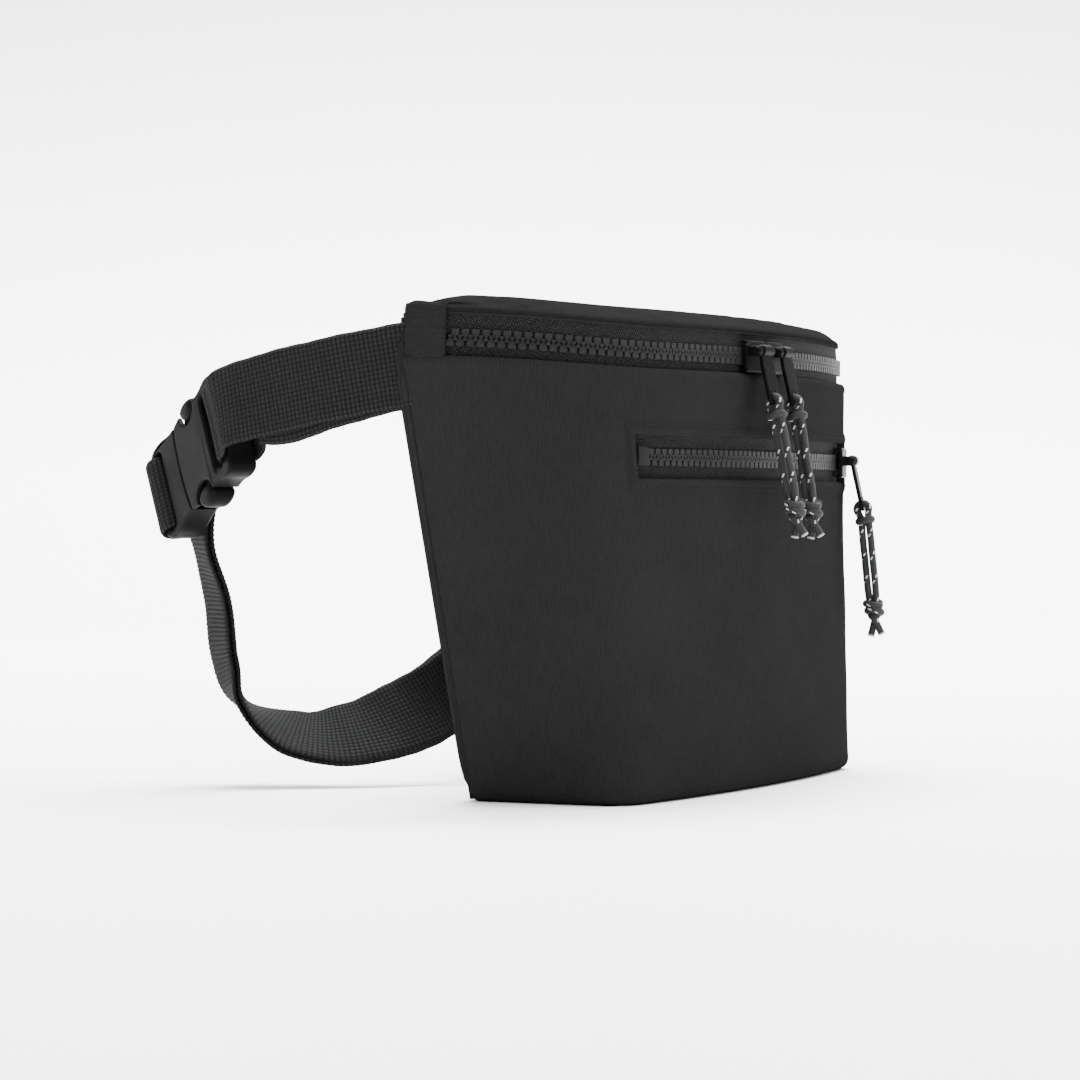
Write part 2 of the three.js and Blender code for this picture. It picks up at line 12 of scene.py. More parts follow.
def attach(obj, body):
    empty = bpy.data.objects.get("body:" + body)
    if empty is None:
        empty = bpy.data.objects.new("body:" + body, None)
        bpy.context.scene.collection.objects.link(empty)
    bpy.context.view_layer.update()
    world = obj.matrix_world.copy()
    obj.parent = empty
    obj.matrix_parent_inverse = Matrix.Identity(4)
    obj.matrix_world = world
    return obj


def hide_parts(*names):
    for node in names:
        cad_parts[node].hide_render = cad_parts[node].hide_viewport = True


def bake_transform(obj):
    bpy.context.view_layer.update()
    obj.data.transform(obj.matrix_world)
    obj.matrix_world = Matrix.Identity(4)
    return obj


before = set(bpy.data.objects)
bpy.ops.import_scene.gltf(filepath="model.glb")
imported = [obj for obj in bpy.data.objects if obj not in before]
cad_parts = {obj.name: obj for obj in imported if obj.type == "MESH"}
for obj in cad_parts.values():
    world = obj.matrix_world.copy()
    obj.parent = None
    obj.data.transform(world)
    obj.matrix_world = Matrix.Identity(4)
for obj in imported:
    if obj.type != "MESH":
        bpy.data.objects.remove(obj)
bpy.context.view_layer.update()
MM = 0.001

# ---------- dimensions shared with the CAD part, in millimetres ----------
BACK_SHIFT = 35
FRONT_RADIUS = 285
ZIP_PLAN = [("arc", FRONT_RADIUS, 15), ("arc", 66, 35), ("arc", 57, 45)]
BASE_PLAN = [("arc", 640, 7.45), ("arc", 12, 82.55), ("line", 39.8, 0)]
BASE_FRONT = 6
SEAM_Z = 130.5
REAR_RISE = 0.026
SKIN_OUT = 1.5
SKIN = 2.2
ZIP_Z = 136.3
ZIP_HALF = 148.8
PITCH = 3.1
TOP_SEAM_Z = 143.8
POCKET_Z = 104.3
WINDOW_HALF = 87
SLIDER_MEET = -18.3
POCKET_SLIDER_X = 74
TAB_LENGTH = 17.3
TAB_LEAN = math.radians(12)
BAR_OUT = 5.1
CORD = 2.4
RING_RADIUS = 2.1
STRAND_LENGTH = 30.5
STRAND_TURN = math.radians(78)
WEBBING = 25
WEBBING_THICK = 1.5


# ---------- plan curves ----------
def plan_length(plan):
    return sum(a if kind == "line" else a * math.radians(b) for kind, a, b in plan)


def plan_point(plan, distance):
    x = y = heading = 0.0
    left = abs(distance)
    for kind, a, b in plan:
        full = a if kind == "line" else a * math.radians(b)
        run = min(left, full)
        if kind == "line":
            x += run * math.cos(heading)
            y += run * math.sin(heading)
        else:
            turned = heading + run / a
            x += a * (math.sin(turned) - math.sin(heading))
            y += a * (math.cos(heading) - math.cos(turned))
            heading = turned
        left -= run
        if left <= 0:
            break
    return math.copysign(x, distance), y


ZIP_LENGTH = plan_length(ZIP_PLAN)
BASE_LENGTH = plan_length(BASE_PLAN)


def plan_at(u, z):
    share = min(1.0, z / SEAM_Z)
    tx, ty = plan_point(ZIP_PLAN, u * ZIP_LENGTH)
    bx, by = plan_point(BASE_PLAN, u * BASE_LENGTH)
    return bx + (tx - bx) * share, (by + BASE_FRONT) + (ty - by - BASE_FRONT) * share


def smooth(a, b, x):
    t = min(1.0, max(0.0, (x - a) / (b - a)))
    return t * t * (3 - 2 * t)


def skin(u, z, out):
    """A point of the bag's skin: u is -1 at the left rear corner and 1 at the right."""
    x, y = plan_at(u, z)
    x0, y0 = plan_at(u - 0.002, z)
    x1, y1 = plan_at(u + 0.002, z)
    length = math.hypot(x1 - x0, y1 - y0)
    away = smooth(0.47, 1.0, abs(u))
    return Vector((x + (y1 - y0) / length * out,
                   y - (x1 - x0) / length * out - BACK_SHIFT,
                   z * (1 + REAR_RISE * away)))


def skin_frame(u, z, out=0.0):
    """Place and axes on the skin: along the zip, inward, up."""
    step = 0.001
    place = skin(u, z, out)
    along = (skin(u + step, z, out) - skin(u - step, z, out)).normalized()
    up = Vector((0, 0, 1))
    inward = up.cross(along).normalized()
    up = along.cross(inward)
    matrix = Matrix((along, inward, up)).transposed().to_4x4()
    matrix.translation = place
    return matrix


def pocket_u(x):
    return x / (0.8 * ZIP_LENGTH + 0.2 * BASE_LENGTH)


# ---------- materials ----------
class Nodes:
    """A short way to write a shader: numbers go in, sockets come out."""

    def __init__(self, name):
        self.material = bpy.data.materials.new(name)
        self.material.use_nodes = True
        self.tree = self.material.node_tree
        self.shader = self.tree.nodes["Principled BSDF"]

    def node(self, kind, **settings):
        made = self.tree.nodes.new(kind)
        for key, value in settings.items():
            setattr(made, key, value)
        return made

    def put(self, socket, value):
        if hasattr(value, "links"):
            self.tree.links.new(value, socket)
        else:
            socket.default_value = value

    def math(self, operation, a, b=0.0, c=0.0):
        made = self.node("ShaderNodeMath", operation=operation)
        for socket, value in zip(made.inputs, (a, b, c)):
            self.put(socket, value)
        return made.outputs[0]

    def mul(self, a, b):
        return self.math("MULTIPLY", a, b)

    def add(self, a, b):
        return self.math("ADD", a, b)

    def sub(self, a, b):
        return self.math("SUBTRACT", a, b)

    def uv(self):
        """The surface's own coordinates, in millimetres."""
        made = self.node("ShaderNodeUVMap", uv_map="mm")
        parts = self.node("ShaderNodeSeparateXYZ")
        self.tree.links.new(made.outputs[0], parts.inputs[0])
        return self.math("MULTIPLY", parts.outputs[0], 100.0), self.math("MULTIPLY", parts.outputs[1], 100.0)

    def place(self):
        return self.node("ShaderNodeTexCoord").outputs["Object"]

    def vector(self, x, y, z=0.0):
        made = self.node("ShaderNodeCombineXYZ")
        for socket, value in zip(made.inputs, (x, y, z)):
            self.put(socket, value)
        return made.outputs[0]

    def noise(self, vector, scale, detail=3.0, roughness=0.55):
        made = self.node("ShaderNodeTexNoise")
        self.put(made.inputs["Vector"], vector)
        self.put(made.inputs["Scale"], scale)
        self.put(made.inputs["Detail"], detail)
        self.put(made.inputs["Roughness"], roughness)
        return made.outputs[0]

    def wave(self, value, pitch):
        """A row of round ridges, 0 to 1, one every pitch."""
        return self.math("ABSOLUTE", self.math("SINE", self.math("MULTIPLY", value, math.pi / pitch)))

    def ramp(self, value, low, high):
        made = self.node("ShaderNodeMapRange")
        self.put(made.inputs["Value"], value)
        self.put(made.inputs["From Min"], low)
        self.put(made.inputs["From Max"], high)
        return made.outputs[0]

    def mix(self, factor, a, b):
        made = self.node("ShaderNodeMix", data_type="RGBA")
        self.put(made.inputs["Factor"], factor)
        self.put(made.inputs[6], a if hasattr(a, "links") else (*a, 1))
        self.put(made.inputs[7], b if hasattr(b, "links") else (*b, 1))
        return made.outputs[2]

    def finish(self, colour, roughness, height, depth_mm, sheen=0.0, specular=0.5):
        self.put(self.shader.inputs["Base Color"], colour)
        self.put(self.shader.inputs["Roughness"], roughness)
        self.shader.inputs["Specular IOR Level"].default_value = specular
        if sheen:
            self.shader.inputs["Sheen Weight"].default_value = sheen
            self.shader.inputs["Sheen Roughness"].default_value = 0.45
            self.shader.inputs["Sheen Tint"].default_value = (0.8, 0.85, 0.9, 1)
        bump = self.node("ShaderNodeBump")
        self.put(bump.inputs["Height"], height)
        bump.inputs["Distance"].default_value = depth_mm * MM
        bump.inputs["Strength"].default_value = 1.0
        self.tree.links.new(bump.outputs[0], self.shader.inputs["Normal"])
        return self.material


def grey(value, blue=0.0):
    return (value, value + blue * 0.6, value + blue)


def rib_cloth(name, dark, light, pitch=0.8, lean=0.0, sheen=0.12, specular=0.0):
    """Fine ribs with a cross thread, slubs and faint wide shading."""
    n = Nodes(name)
    x, y = n.uv()
    lined = n.add(x, n.mul(y, lean))
    ribs = n.wave(lined, pitch)
    threads = n.wave(n.add(y, n.mul(ribs, 0.15)), pitch * 0.62)
    weave = n.add(n.mul(ribs, 0.62), n.mul(threads, 0.38))
    slub = n.noise(n.vector(n.mul(x, 1.6), n.mul(y, 0.16)), 1.0, 4.0)
    grain = n.noise(n.vector(x, y), 3.4, 2.0)
    broad = n.noise(n.vector(x, y), 0.03, 2.0)
    tone = n.add(n.mul(weave, 0.34), n.mul(slub, 0.36))
    tone = n.add(tone, n.mul(grain, 0.22))
    tone = n.add(tone, n.mul(broad, 0.2))
    colour = n.mix(n.ramp(tone, 0.25, 0.85), grey(dark), grey(light))
    rough = n.math("MULTIPLY_ADD", grain, 0.16, 0.78)
    height = n.add(weave, n.mul(slub, 0.5))
    return n.finish(colour, rough, height, 0.05, sheen, specular)


def tape_cloth(name, dark, light, blue):
    """Zip tape: a steep twill with pale specks."""
    n = Nodes(name)
    x, y = n.uv()
    twill = n.wave(n.add(x, n.mul(y, 0.7)), 0.62)
    cross = n.wave(n.sub(y, n.mul(x, 0.25)), 0.5)
    specks = n.noise(n.vector(n.mul(x, 0.85), y), 2.4, 1.5)
    row = n.wave(n.add(x, n.mul(y, 0.5)), 0.82)
    column = n.wave(n.sub(y, n.mul(x, 0.3)), 0.6)
    dots = n.ramp(n.mul(row, column), 0.3, 0.8)
    bright = n.mul(dots, n.ramp(specks, 0.3, 0.58))
    colour = n.mix(bright, grey(dark, blue), grey(light, blue * 1.6))
    height = n.add(n.mul(twill, 0.7), n.mul(cross, 0.5))
    return n.finish(colour, n.math("MULTIPLY_ADD", specks, 0.2, 0.7), height, 0.12, 0.0, 0.03)


def web_cloth(name, dark, light):
    """Belt webbing: square lumps between cross ribs and lengthwise columns, with dark joints."""
    n = Nodes(name)
    x, y = n.uv()
    ribs = n.wave(n.add(y, n.mul(n.noise(n.vector(x, y), 0.6, 1.0), 0.3)), 1.45)
    columns = n.wave(x, 1.39)
    pick = n.mul(n.math("POWER", ribs, 0.75), n.math("POWER", columns, 0.4))
    grain = n.noise(n.vector(n.mul(x, 1.6), n.mul(y, 0.7)), 2.2, 3.0)
    broad = n.noise(n.vector(x, y), 0.12, 2.0)
    tone = n.mul(n.add(pick, n.mul(broad, 0.2)), n.ramp(grain, 0.0, 0.8))
    colour = n.mix(tone, grey(dark), grey(light, 0.0012))
    height = n.add(pick, n.mul(grain, 0.3))
    return n.finish(colour, n.math("MULTIPLY_ADD", grain, 0.2, 0.72), height, 0.32, 0.0, 0.03)


def braid_cloth(name):
    """Braided cord, with a pair of pale dashes every 8 mm."""
    n = Nodes(name)
    x, y = n.uv()
    first = n.wave(n.add(y, x), 0.82)
    second = n.wave(n.sub(y, x), 0.82)
    strands = n.math("MAXIMUM", first, second)
    cell_y = n.sub(n.math("MODULO", n.add(y, 78.0), 7.8), 3.9)
    cell_x = n.sub(n.math("MODULO", n.add(x, 3.28), 3.28), 1.64)
    slanted = n.math("ABSOLUTE", n.sub(cell_x, n.mul(cell_y, 0.55)))
    band = n.math("LESS_THAN", n.math("ABSOLUTE", n.sub(n.math("ABSOLUTE", cell_y), 0.95)), 0.5)
    fleck = n.mul(band, n.math("LESS_THAN", slanted, 0.27))
    grain = n.noise(n.vector(x, y), 2.5, 2.0)
    black = n.mix(n.mul(strands, grain), grey(0.004), grey(0.035, 0.003))
    colour = n.mix(fleck, black, (0.38, 0.38, 0.36))
    return n.finish(colour, n.math("MULTIPLY_ADD", grain, 0.2, 0.65), strands, 0.16, 0.04, 0.12)


def moulded(name, dark, light, rough, grain_mm=0.5, depth=0.02, specular=0.45, metal=0.0):
    """Satin plastic or lacquer: fine grain, faint scuffs, and a painted highlight that lightens sharp convex
    edges.
    """
    n = Nodes(name)
    place = n.place()
    grain = n.noise(place, 1000 / grain_mm, 3.0)
    scuff = n.noise(place, 90.0, 5.0, 0.7)
    # painted highlight: the colour is lighter where the surface is sharply convex, standing in for light caught
    # on the edges
    edge_highlight = n.node("ShaderNodeNewGeometry").outputs["Pointiness"]
    tone = n.mul(n.ramp(scuff, 0.45, 0.75), 0.35)
    tone = n.add(tone, n.mul(n.ramp(edge_highlight, 0.52, 0.62), 0.5))
    colour = n.mix(n.math("MINIMUM", tone, 1.0), grey(dark), grey(light))
    roughness = n.add(rough, n.mul(n.sub(scuff, 0.5), 0.3))
    n.shader.inputs["Metallic"].default_value = metal
    return n.finish(colour, roughness, grain, depth, 0.0, specular)


def plain_mesh_cloth(name, dark, light):
    """Open spacer mesh for the back: rows of small round holes."""
    n = Nodes(name)
    x, y = n.uv()
    row = n.math("MODULO", n.math("ABSOLUTE", n.math("FLOOR", n.math("DIVIDE", y, 1.7))), 2.0)
    holes = n.mul(n.wave(n.add(x, n.mul(row, 1.0)), 2.0), n.wave(y, 1.7))
    grain = n.noise(n.vector(x, y), 3.0, 3.0)
    colour = n.mix(n.mul(holes, n.ramp(grain, 0.2, 0.8)), grey(dark), grey(light, 0.001))
    return n.finish(colour, n.math("MULTIPLY_ADD", grain, 0.2, 0.7), holes, 0.35, 0.0, 0.04)


BODY_CLOTH = rib_cloth("body_cloth", 0.0049, 0.0134, 0.85, 0.0, 0.0)
TOP_CLOTH = rib_cloth("top_cloth", 0.0035, 0.0105, 0.7, 0.8, 0.0, 0.0)
LINING = rib_cloth("lining_cloth", 0.012, 0.024, 0.5, 0.0, 0.1)
BINDING = rib_cloth("binding_cloth", 0.004, 0.0145, 0.55, 0.0, 0.0)
TAPE = tape_cloth("zip_tape", 0.003, 0.034, 0.0003)
WEB = web_cloth("belt_webbing", 0.002, 0.019)
BRAID = braid_cloth("pull_braid")
BACK_MESH = plain_mesh_cloth("back_mesh", 0.004, 0.015)
THREAD = rib_cloth("thread", 0.006, 0.016, 0.3, 0.0, 0.0)
TEETH = moulded("tooth_plastic", 0.006, 0.016, 0.5, 0.4, 0.01, 0.06)
LACQUER = moulded("pull_lacquer", 0.002, 0.006, 0.42, 0.3, 0.008, 0.025)
PLASTIC = moulded("buckle_plastic", 0.0025, 0.005, 0.5, 0.35, 0.008, 0.025)
TIP = moulded("cord_tip", 0.16, 0.3, 0.6, 0.4, 0.02, 0.2)


# ---------- mesh making ----------
def new_piece(name, bm, material, body, replaces=(), smooth_angle=40, moulded_part=False):
    """Scales a millimetre mesh to metres and places it as one piece on a body."""
    bmesh.ops.recalc_face_normals(bm, faces=bm.faces[:])
    bmesh.ops.scale(bm, vec=(MM, MM, MM), verts=bm.verts[:])
    mesh = bpy.data.meshes.new(name)
    bm.to_mesh(mesh)
    bm.free()
    mesh.materials.append(material)
    for polygon in mesh.polygons:
        polygon.use_smooth = True
    mesh.set_sharp_from_angle(angle=math.radians(smooth_angle))
    piece = bpy.data.objects.new(name, mesh)
    bpy.context.scene.collection.objects.link(piece)
    if moulded_part:
        flat = piece.modifiers.new("flat_faces", "WEIGHTED_NORMAL")
        flat.weight = 100
        flat.keep_sharp = True
    if body:
        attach(piece, body)
    if replaces:
        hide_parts(*replaces)
    return piece


def add_solid(bm, outer, inner, columns, rows, skip=None, uv_of=None):
    """A closed sheet between two grids of points; skip(i, j) leaves a hole through it."""
    layer = bm.loops.layers.uv.get("mm") or bm.loops.layers.uv.new("mm")
    grids = []
    for face in (outer, inner):
        grids.append([[bm.verts.new(face(i, j)) for j in range(rows + 1)] for i in range(columns + 1)])
    kept = set()
    for i in range(columns):
        for j in range(rows):
            if not (skip and skip(i, j)):
                kept.add((i, j))

    def quad(corners):
        face = bm.faces.new([grids[side][i][j] for side, i, j in corners])
        for loop, (side, i, j) in zip(face.loops, corners):
            u, v = uv_of(i, j) if uv_of else (i, j)
            loop[layer].uv = (u / 100, (v + (0.0 if side == 0 else 0.6)) / 100)

    for i, j in kept:
        quad([(0, i, j), (0, i + 1, j), (0, i + 1, j + 1), (0, i, j + 1)])
        quad([(1, i, j), (1, i, j + 1), (1, i + 1, j + 1), (1, i + 1, j)])
        if (i - 1, j) not in kept:
            quad([(0, i, j), (0, i, j + 1), (1, i, j + 1), (1, i, j)])
        if (i + 1, j) not in kept:
            quad([(0, i + 1, j + 1), (0, i + 1, j), (1, i + 1, j), (1, i + 1, j + 1)])
        if (i, j - 1) not in kept:
            quad([(0, i + 1, j), (0, i, j), (1, i, j), (1, i + 1, j)])
        if (i, j + 1) not in kept:
            quad([(0, i, j + 1), (0, i + 1, j + 1), (1, i + 1, j + 1), (1, i, j + 1)])
    bmesh.ops.delete(bm, geom=[v for v in bm.verts if not v.link_faces], context="VERTS")


def add_tube(bm, path, radius, sides=12, closed=False):
    """A tube along points; its coordinates are the way round and the way along, in mm."""
    layer = bm.loops.layers.uv.get("mm") or bm.loops.layers.uv.new("mm")
    count = len(path)
    normal = Vector((0.31, 0.52, 0.79))
    rings = []
    runs = [0.0]
    for k in range(count):
        if closed:
            tangent = (path[(k + 1) % count] - path[k - 1]).normalized()
        else:
            tangent = (path[min(k + 1, count - 1)] - path[max(k - 1, 0)]).normalized()
        normal = (normal - tangent * normal.dot(tangent)).normalized()
        side = tangent.cross(normal)
        r = radius(k / max(1, count - 1)) if callable(radius) else radius
        rings.append([bm.verts.new(path[k] + (normal * math.cos(a) + side * math.sin(a)) * r)
                      for a in (2 * math.pi * s / sides for s in range(sides))])
        if k:
            runs.append(runs[-1] + (path[k] - path[k - 1]).length)
    last = count if closed else count - 1
    for k in range(last):
        for s in range(sides):
            face = bm.faces.new([rings[k][s], rings[k][(s + 1) % sides],
                                 rings[(k + 1) % count][(s + 1) % sides], rings[(k + 1) % count][s]])
            ahead = runs[k + 1] if k + 1 < count else runs[-1] + 0.5
            corners = [(s, runs[k]), (s + 1, runs[k]), (s + 1, ahead), (s, ahead)]
            for loop, (a, v) in zip(face.loops, corners):
                loop[layer].uv = (a / sides * 6.56 / 100, v / 100)
    if not closed:
        bm.faces.new(rings[0][::-1])
        bm.faces.new(rings[-1])


def curve_through(points, count=60, closed=False):
    """Evenly spaced points on a centripetal spline."""
    pts = [Vector(p) for p in points]
    dense = []
    n = len(pts)
    for k in range(n if closed else n - 1):
        p1, p2 = pts[k], pts[(k + 1) % n]
        p0 = pts[k - 1] if (k or closed) else p1 * 2 - p2
        p3 = pts[(k + 2) % n] if (k + 2 < n or closed) else p2 * 2 - p1
        d0 = max((p1 - p0).length ** 0.5, 1e-3)
        d1 = max((p2 - p1).length ** 0.5, 1e-3)
        d2 = max((p3 - p2).length ** 0.5, 1e-3)
        t1 = ((p1 - p0) / d0 - (p2 - p0) / (d0 + d1) + (p2 - p1) / d1) * d1
        t2 = ((p2 - p1) / d1 - (p3 - p1) / (d1 + d2) + (p3 - p2) / d2) * d1
        for step in range(24):
            t = step / 24
            dense.append((k + t, p1 + t1 * t + (p2 * 3 - p1 * 3 - t1 * 2 - t2) * t * t
                          + (p1 * 2 - p2 * 2 + t1 + t2) * t ** 3))
    dense.append((n if closed else n - 1, pts[0].copy() if closed else pts[-1].copy()))
    runs = [0.0]
    for a, b in zip(dense, dense[1:]):
        runs.append(runs[-1] + (b[1] - a[1]).length)
    result = []
    at = 0
    for k in range(count + (0 if closed else 1)):
        want = runs[-1] * k / count
        while at < len(runs) - 2 and runs[at + 1] < want:
            at += 1
        share = (want - runs[at]) / max(1e-9, runs[at + 1] - runs[at])
        result.append((dense[at][0] + (dense[at + 1][0] - dense[at][0]) * share,
                       dense[at][1].lerp(dense[at + 1][1], share), want))
    return result


def plain_curve(points, count=60, closed=False):
    return [p for _, p, _ in curve_through(points, count, closed)]


def rounded(points, radius, steps=4):
    """An outline with its corners rounded off."""
    result = []
    n = len(points)
    for k in range(n):
        p = Vector(points[k])
        a = Vector(points[k - 1]) - p
        b = Vector(points[(k + 1) % n]) - p
        r = radius[k] if isinstance(radius, (list, tuple)) else radius
        r = min(r, a.length * 0.48, b.length * 0.48)
        start = p + a.normalized() * r
        end = p + b.normalized() * r
        for s in range(steps + 1):
            t = s / steps
            result.append(start.lerp(p, t).lerp(p.lerp(end, t), t))
    return result


def add_plate(bm, outline, low, high, bevel, holes=(), matrix=None, bevel_steps=3):
    """A plate with rounded edges, from an outline and any holes, as one closed body."""
    curve = bpy.data.curves.new("outline", "CURVE")
    curve.dimensions = "2D"
    curve.fill_mode = "BOTH"
    for loop in (outline, *holes):
        spline = curve.splines.new("POLY")
        spline.points.add(len(loop) - 1)
        for point, (x, y) in zip(spline.points, loop):
            point.co = (x, y, 0, 1)
        spline.use_cyclic_u = True
    curve.extrude = (high - low) / 2 - bevel
    curve.bevel_depth = bevel
    curve.bevel_resolution = bevel_steps
    curve.offset = -bevel
    maker = bpy.data.objects.new("outline", curve)
    bpy.context.scene.collection.objects.link(maker)
    bpy.context.view_layer.update()
    mesh = bpy.data.meshes.new_from_object(maker.evaluated_get(bpy.context.evaluated_depsgraph_get()))
    bpy.data.objects.remove(maker)
    bpy.data.curves.remove(curve)
    part = bmesh.new()
    part.from_mesh(mesh)
    bpy.data.meshes.remove(mesh)
    bmesh.ops.remove_doubles(part, verts=part.verts[:], dist=1e-4)
    bmesh.ops.translate(part, vec=(0, 0, (high + low) / 2), verts=part.verts[:])
    if matrix is not None:
        bmesh.ops.transform(part, matrix=matrix, verts=part.verts[:])
    bmesh.ops.recalc_face_normals(part, faces=part.faces[:])
    made = bpy.data.meshes.new("part")
    part.to_mesh(made)
    part.free()
    bm.from_mesh(made)
    bpy.data.meshes.remove(made)


def add_ball(bm, place, radii, matrix=None, segments=14):
    made = bmesh.ops.create_uvsphere(bm, u_segments=segments, v_segments=max(6, segments * 2 // 3), radius=1.0)
    verts = made["verts"]
    bmesh.ops.scale(bm, vec=radii, verts=verts)
    bmesh.ops.translate(bm, vec=place, verts=verts)
    if matrix is not None:
        bmesh.ops.transform(bm, matrix=matrix, verts=verts)


def transform_all(bm, matrix):
    bmesh.ops.transform(bm, matrix=matrix, verts=bm.verts[:])


def add_stitches(bm, path, out, pitch=2.7, length=2.0, radius=0.26):
    """A row of sewn stitches that dip into the cloth at their ends."""
    runs = [0.0]
    for a, b in zip(path, path[1:]):
        runs.append(runs[-1] + (b - a).length)

    def at(distance):
        k = 0
        while k < len(runs) - 2 and runs[k + 1] < distance:
            k += 1
        share = (distance - runs[k]) / max(1e-9, runs[k + 1] - runs[k])
        return path[k].lerp(path[k + 1], min(1.0, share))

    for k in range(int(runs[-1] / pitch)):
        start = k * pitch + 0.3
        points = []
        for s, lift in ((0, -0.2), (0.25, 0.08), (0.5, 0.14), (0.75, 0.08), (1, -0.2)):
            place = at(start + length * s)
            away = out(place) if callable(out) else out
            points.append(place + away * lift)
        add_tube(bm, points, radius, 6)


# ---------- camera ----------
camera_data = bpy.data.cameras.new("camera")
camera_data.lens = 121.7
camera_data.sensor_width = 36
camera_data.clip_start = 0.05
camera = bpy.data.objects.new("camera", camera_data)
camera.location = (-1.0816, -0.4698, 0.0884)
pitch_down = math.radians(0.47)
gaze = Vector((0.901 * math.cos(pitch_down), 0.434 * math.cos(pitch_down), -math.sin(pitch_down)))
camera.rotation_euler = gaze.to_track_quat("-Z", "Y").to_euler()
bpy.context.scene.collection.objects.link(camera)
bpy.context.scene.camera = camera


# ---------- pulls: places ----------
def pull_frame(place, turn, bar_z):
    """Slider frame and tab frame of one pull, as matrices in millimetres."""
    slider = Matrix.Translation(place) @ Matrix.Rotation(turn, 4, "Z")
    tab = slider @ Matrix.Translation((0, -BAR_OUT, bar_z)) @ Matrix.Rotation(-TAB_LEAN, 4, "X")
    return slider, tab


PULLS = {}
for pull_name, pull_side in (("left", -1), ("right", 1)):
    angle = (SLIDER_MEET + pull_side * (13.4 / 2 + 0.4)) / FRONT_RADIUS
    spot = Vector((FRONT_RADIUS * math.sin(angle), FRONT_RADIUS * (1 - math.cos(angle)) - BACK_SHIFT, ZIP_Z))
    PULLS[pull_name] = (*pull_frame(spot, angle, 1.7), -pull_side, 0.8)
spot = skin(pocket_u(POCKET_SLIDER_X), POCKET_Z, 0)
ahead = skin(pocket_u(POCKET_SLIDER_X + 0.2), POCKET_Z, 0)
pocket_turn = math.atan2(ahead.y - spot.y, ahead.x - spot.x)
PULLS["pocket"] = (*pull_frame(spot, pocket_turn, 0.7), 1, 1.1)


# ---------- cords first ----------
def half_cord_path(side, sway, plumb):
    """Half of a doubled pull cord: round the tab's rim, down, through the knot, cut end."""
    r = RING_RADIUS

    def hung(x, y, z):
        """Below the ring the pair lies across the tab, and is drawn back towards plumb."""
        a = STRAND_TURN
        drop = max(0.0, -r - 1.2 - z)
        return Vector((x * math.cos(a) - y * math.sin(a), x * math.sin(a) + y * math.cos(a) + drop * plumb, z))

    points = [Vector((0.15 * side, 0, r))]
    for degrees in (30, 60, 90, 125):
        a = math.radians(degrees)
        points.append(Vector((0.35 * side, side * r * math.sin(a), r * math.cos(a))))
    points.append(Vector((0.45 * side, side * 1.2, -r - 1.2)))
    top = -STRAND_LENGTH
    for k in range(1, 8):
        t = k / 8
        wide = 1.15 + 0.5 * math.sin(math.pi * t) * sway
        points.append(hung(wide * side, 0.25 * side * math.sin(9 * t), -r - 1.2 + (top + r + 1.2) * t))
    for k in range(0, 7):
        a = math.pi * 1.5 * k / 6
        points.append(hung(1.15 * side * math.cos(a), 1.15 * side * math.sin(a), top - 0.6 - 5.6 * k / 6))
    for k in range(1, 5):
        points.append(hung(0.15 * side + 0.42 * side * k, -0.9 * side + 0.3 * k * side, top - 6.4 - 1.35 * k))
    return plain_curve(points, 120)


def add_pull_cords(name, sway, plumb):
    _, tab, _, _ = PULLS[name]
    cord = tab @ Matrix.Translation((0, 0, -TAB_LENGTH + 0.6))
    hitch = bmesh.new()
    band = [Vector((1.7 * math.cos(a), 2.3 * math.sin(a), -RING_RADIUS - 1.7 + 0.35 * math.sin(2 * a)))
            for a in (2 * math.pi * k / 28 for k in range(28))]
    add_tube(hitch, band, 1.15, 10, closed=True)
    transform_all(hitch, cord)
    hitch_piece = new_piece(f"{name}_cord_hitch", hitch, BRAID, f"{name}_cord")
    knot = bmesh.new()
    top = -STRAND_LENGTH
    for phase, lift, lean in ((0.0, -1.6, 0.8), (2.2, -4.0, -0.9)):
        loop = [Vector((2.25 * math.cos(a), 1.95 * math.sin(a), top + lift + lean * math.cos(a + phase)))
                for a in (2 * math.pi * k / 30 for k in range(30))]
        add_tube(knot, loop, 1.2, 10, closed=True)
    cross = plain_curve([(-2.2, -1.6, top - 1.2), (-0.6, -2.6, top - 2.4), (1.2, -2.5, top - 3.6),
                         (2.3, -1.2, top - 4.6)], 24)
    add_tube(knot, cross, 1.15, 10)
    drawn_in = Matrix.Translation((0, (-RING_RADIUS - 1.2 - top + 3) * plumb, 0))
    transform_all(knot, cord @ drawn_in @ Matrix.Rotation(STRAND_TURN, 4, "Z"))
    knot_piece = new_piece(f"{name}_cord_knot", knot, BRAID, f"{name}_cord",
                           (f"{name}_pull_knot",))
    tips = bmesh.new()
    for side in (-1, 1):
        path = half_cord_path(side, sway, plumb)
        bm = bmesh.new()
        add_tube(bm, path, CORD / 2, 12)
        transform_all(bm, cord)
        side_name = "a" if side < 0 else "b"
        piece = new_piece(f"{name}_cord_{side_name}", bm, BRAID, f"{name}_cord",
                          (f"{name}_pull_cord", f"{name}_pull_knot"))
        end = path[-1]
        way = (path[-1] - path[-3]).normalized()
        add_tube(tips, [end - way * 0.35, end + way * 0.1, end + way * 0.22],
                 lambda t: 1.22 if t < 0.8 else 0.9, 12)
    transform_all(tips, cord)
    new_piece(f"{name}_cord_tips", tips, TIP, f"{name}_cord")


add_pull_cords("left", 0.9, 0.0)
add_pull_cords("right", 0.3, 0.04)
add_pull_cords("pocket", 0.6, 0.11)


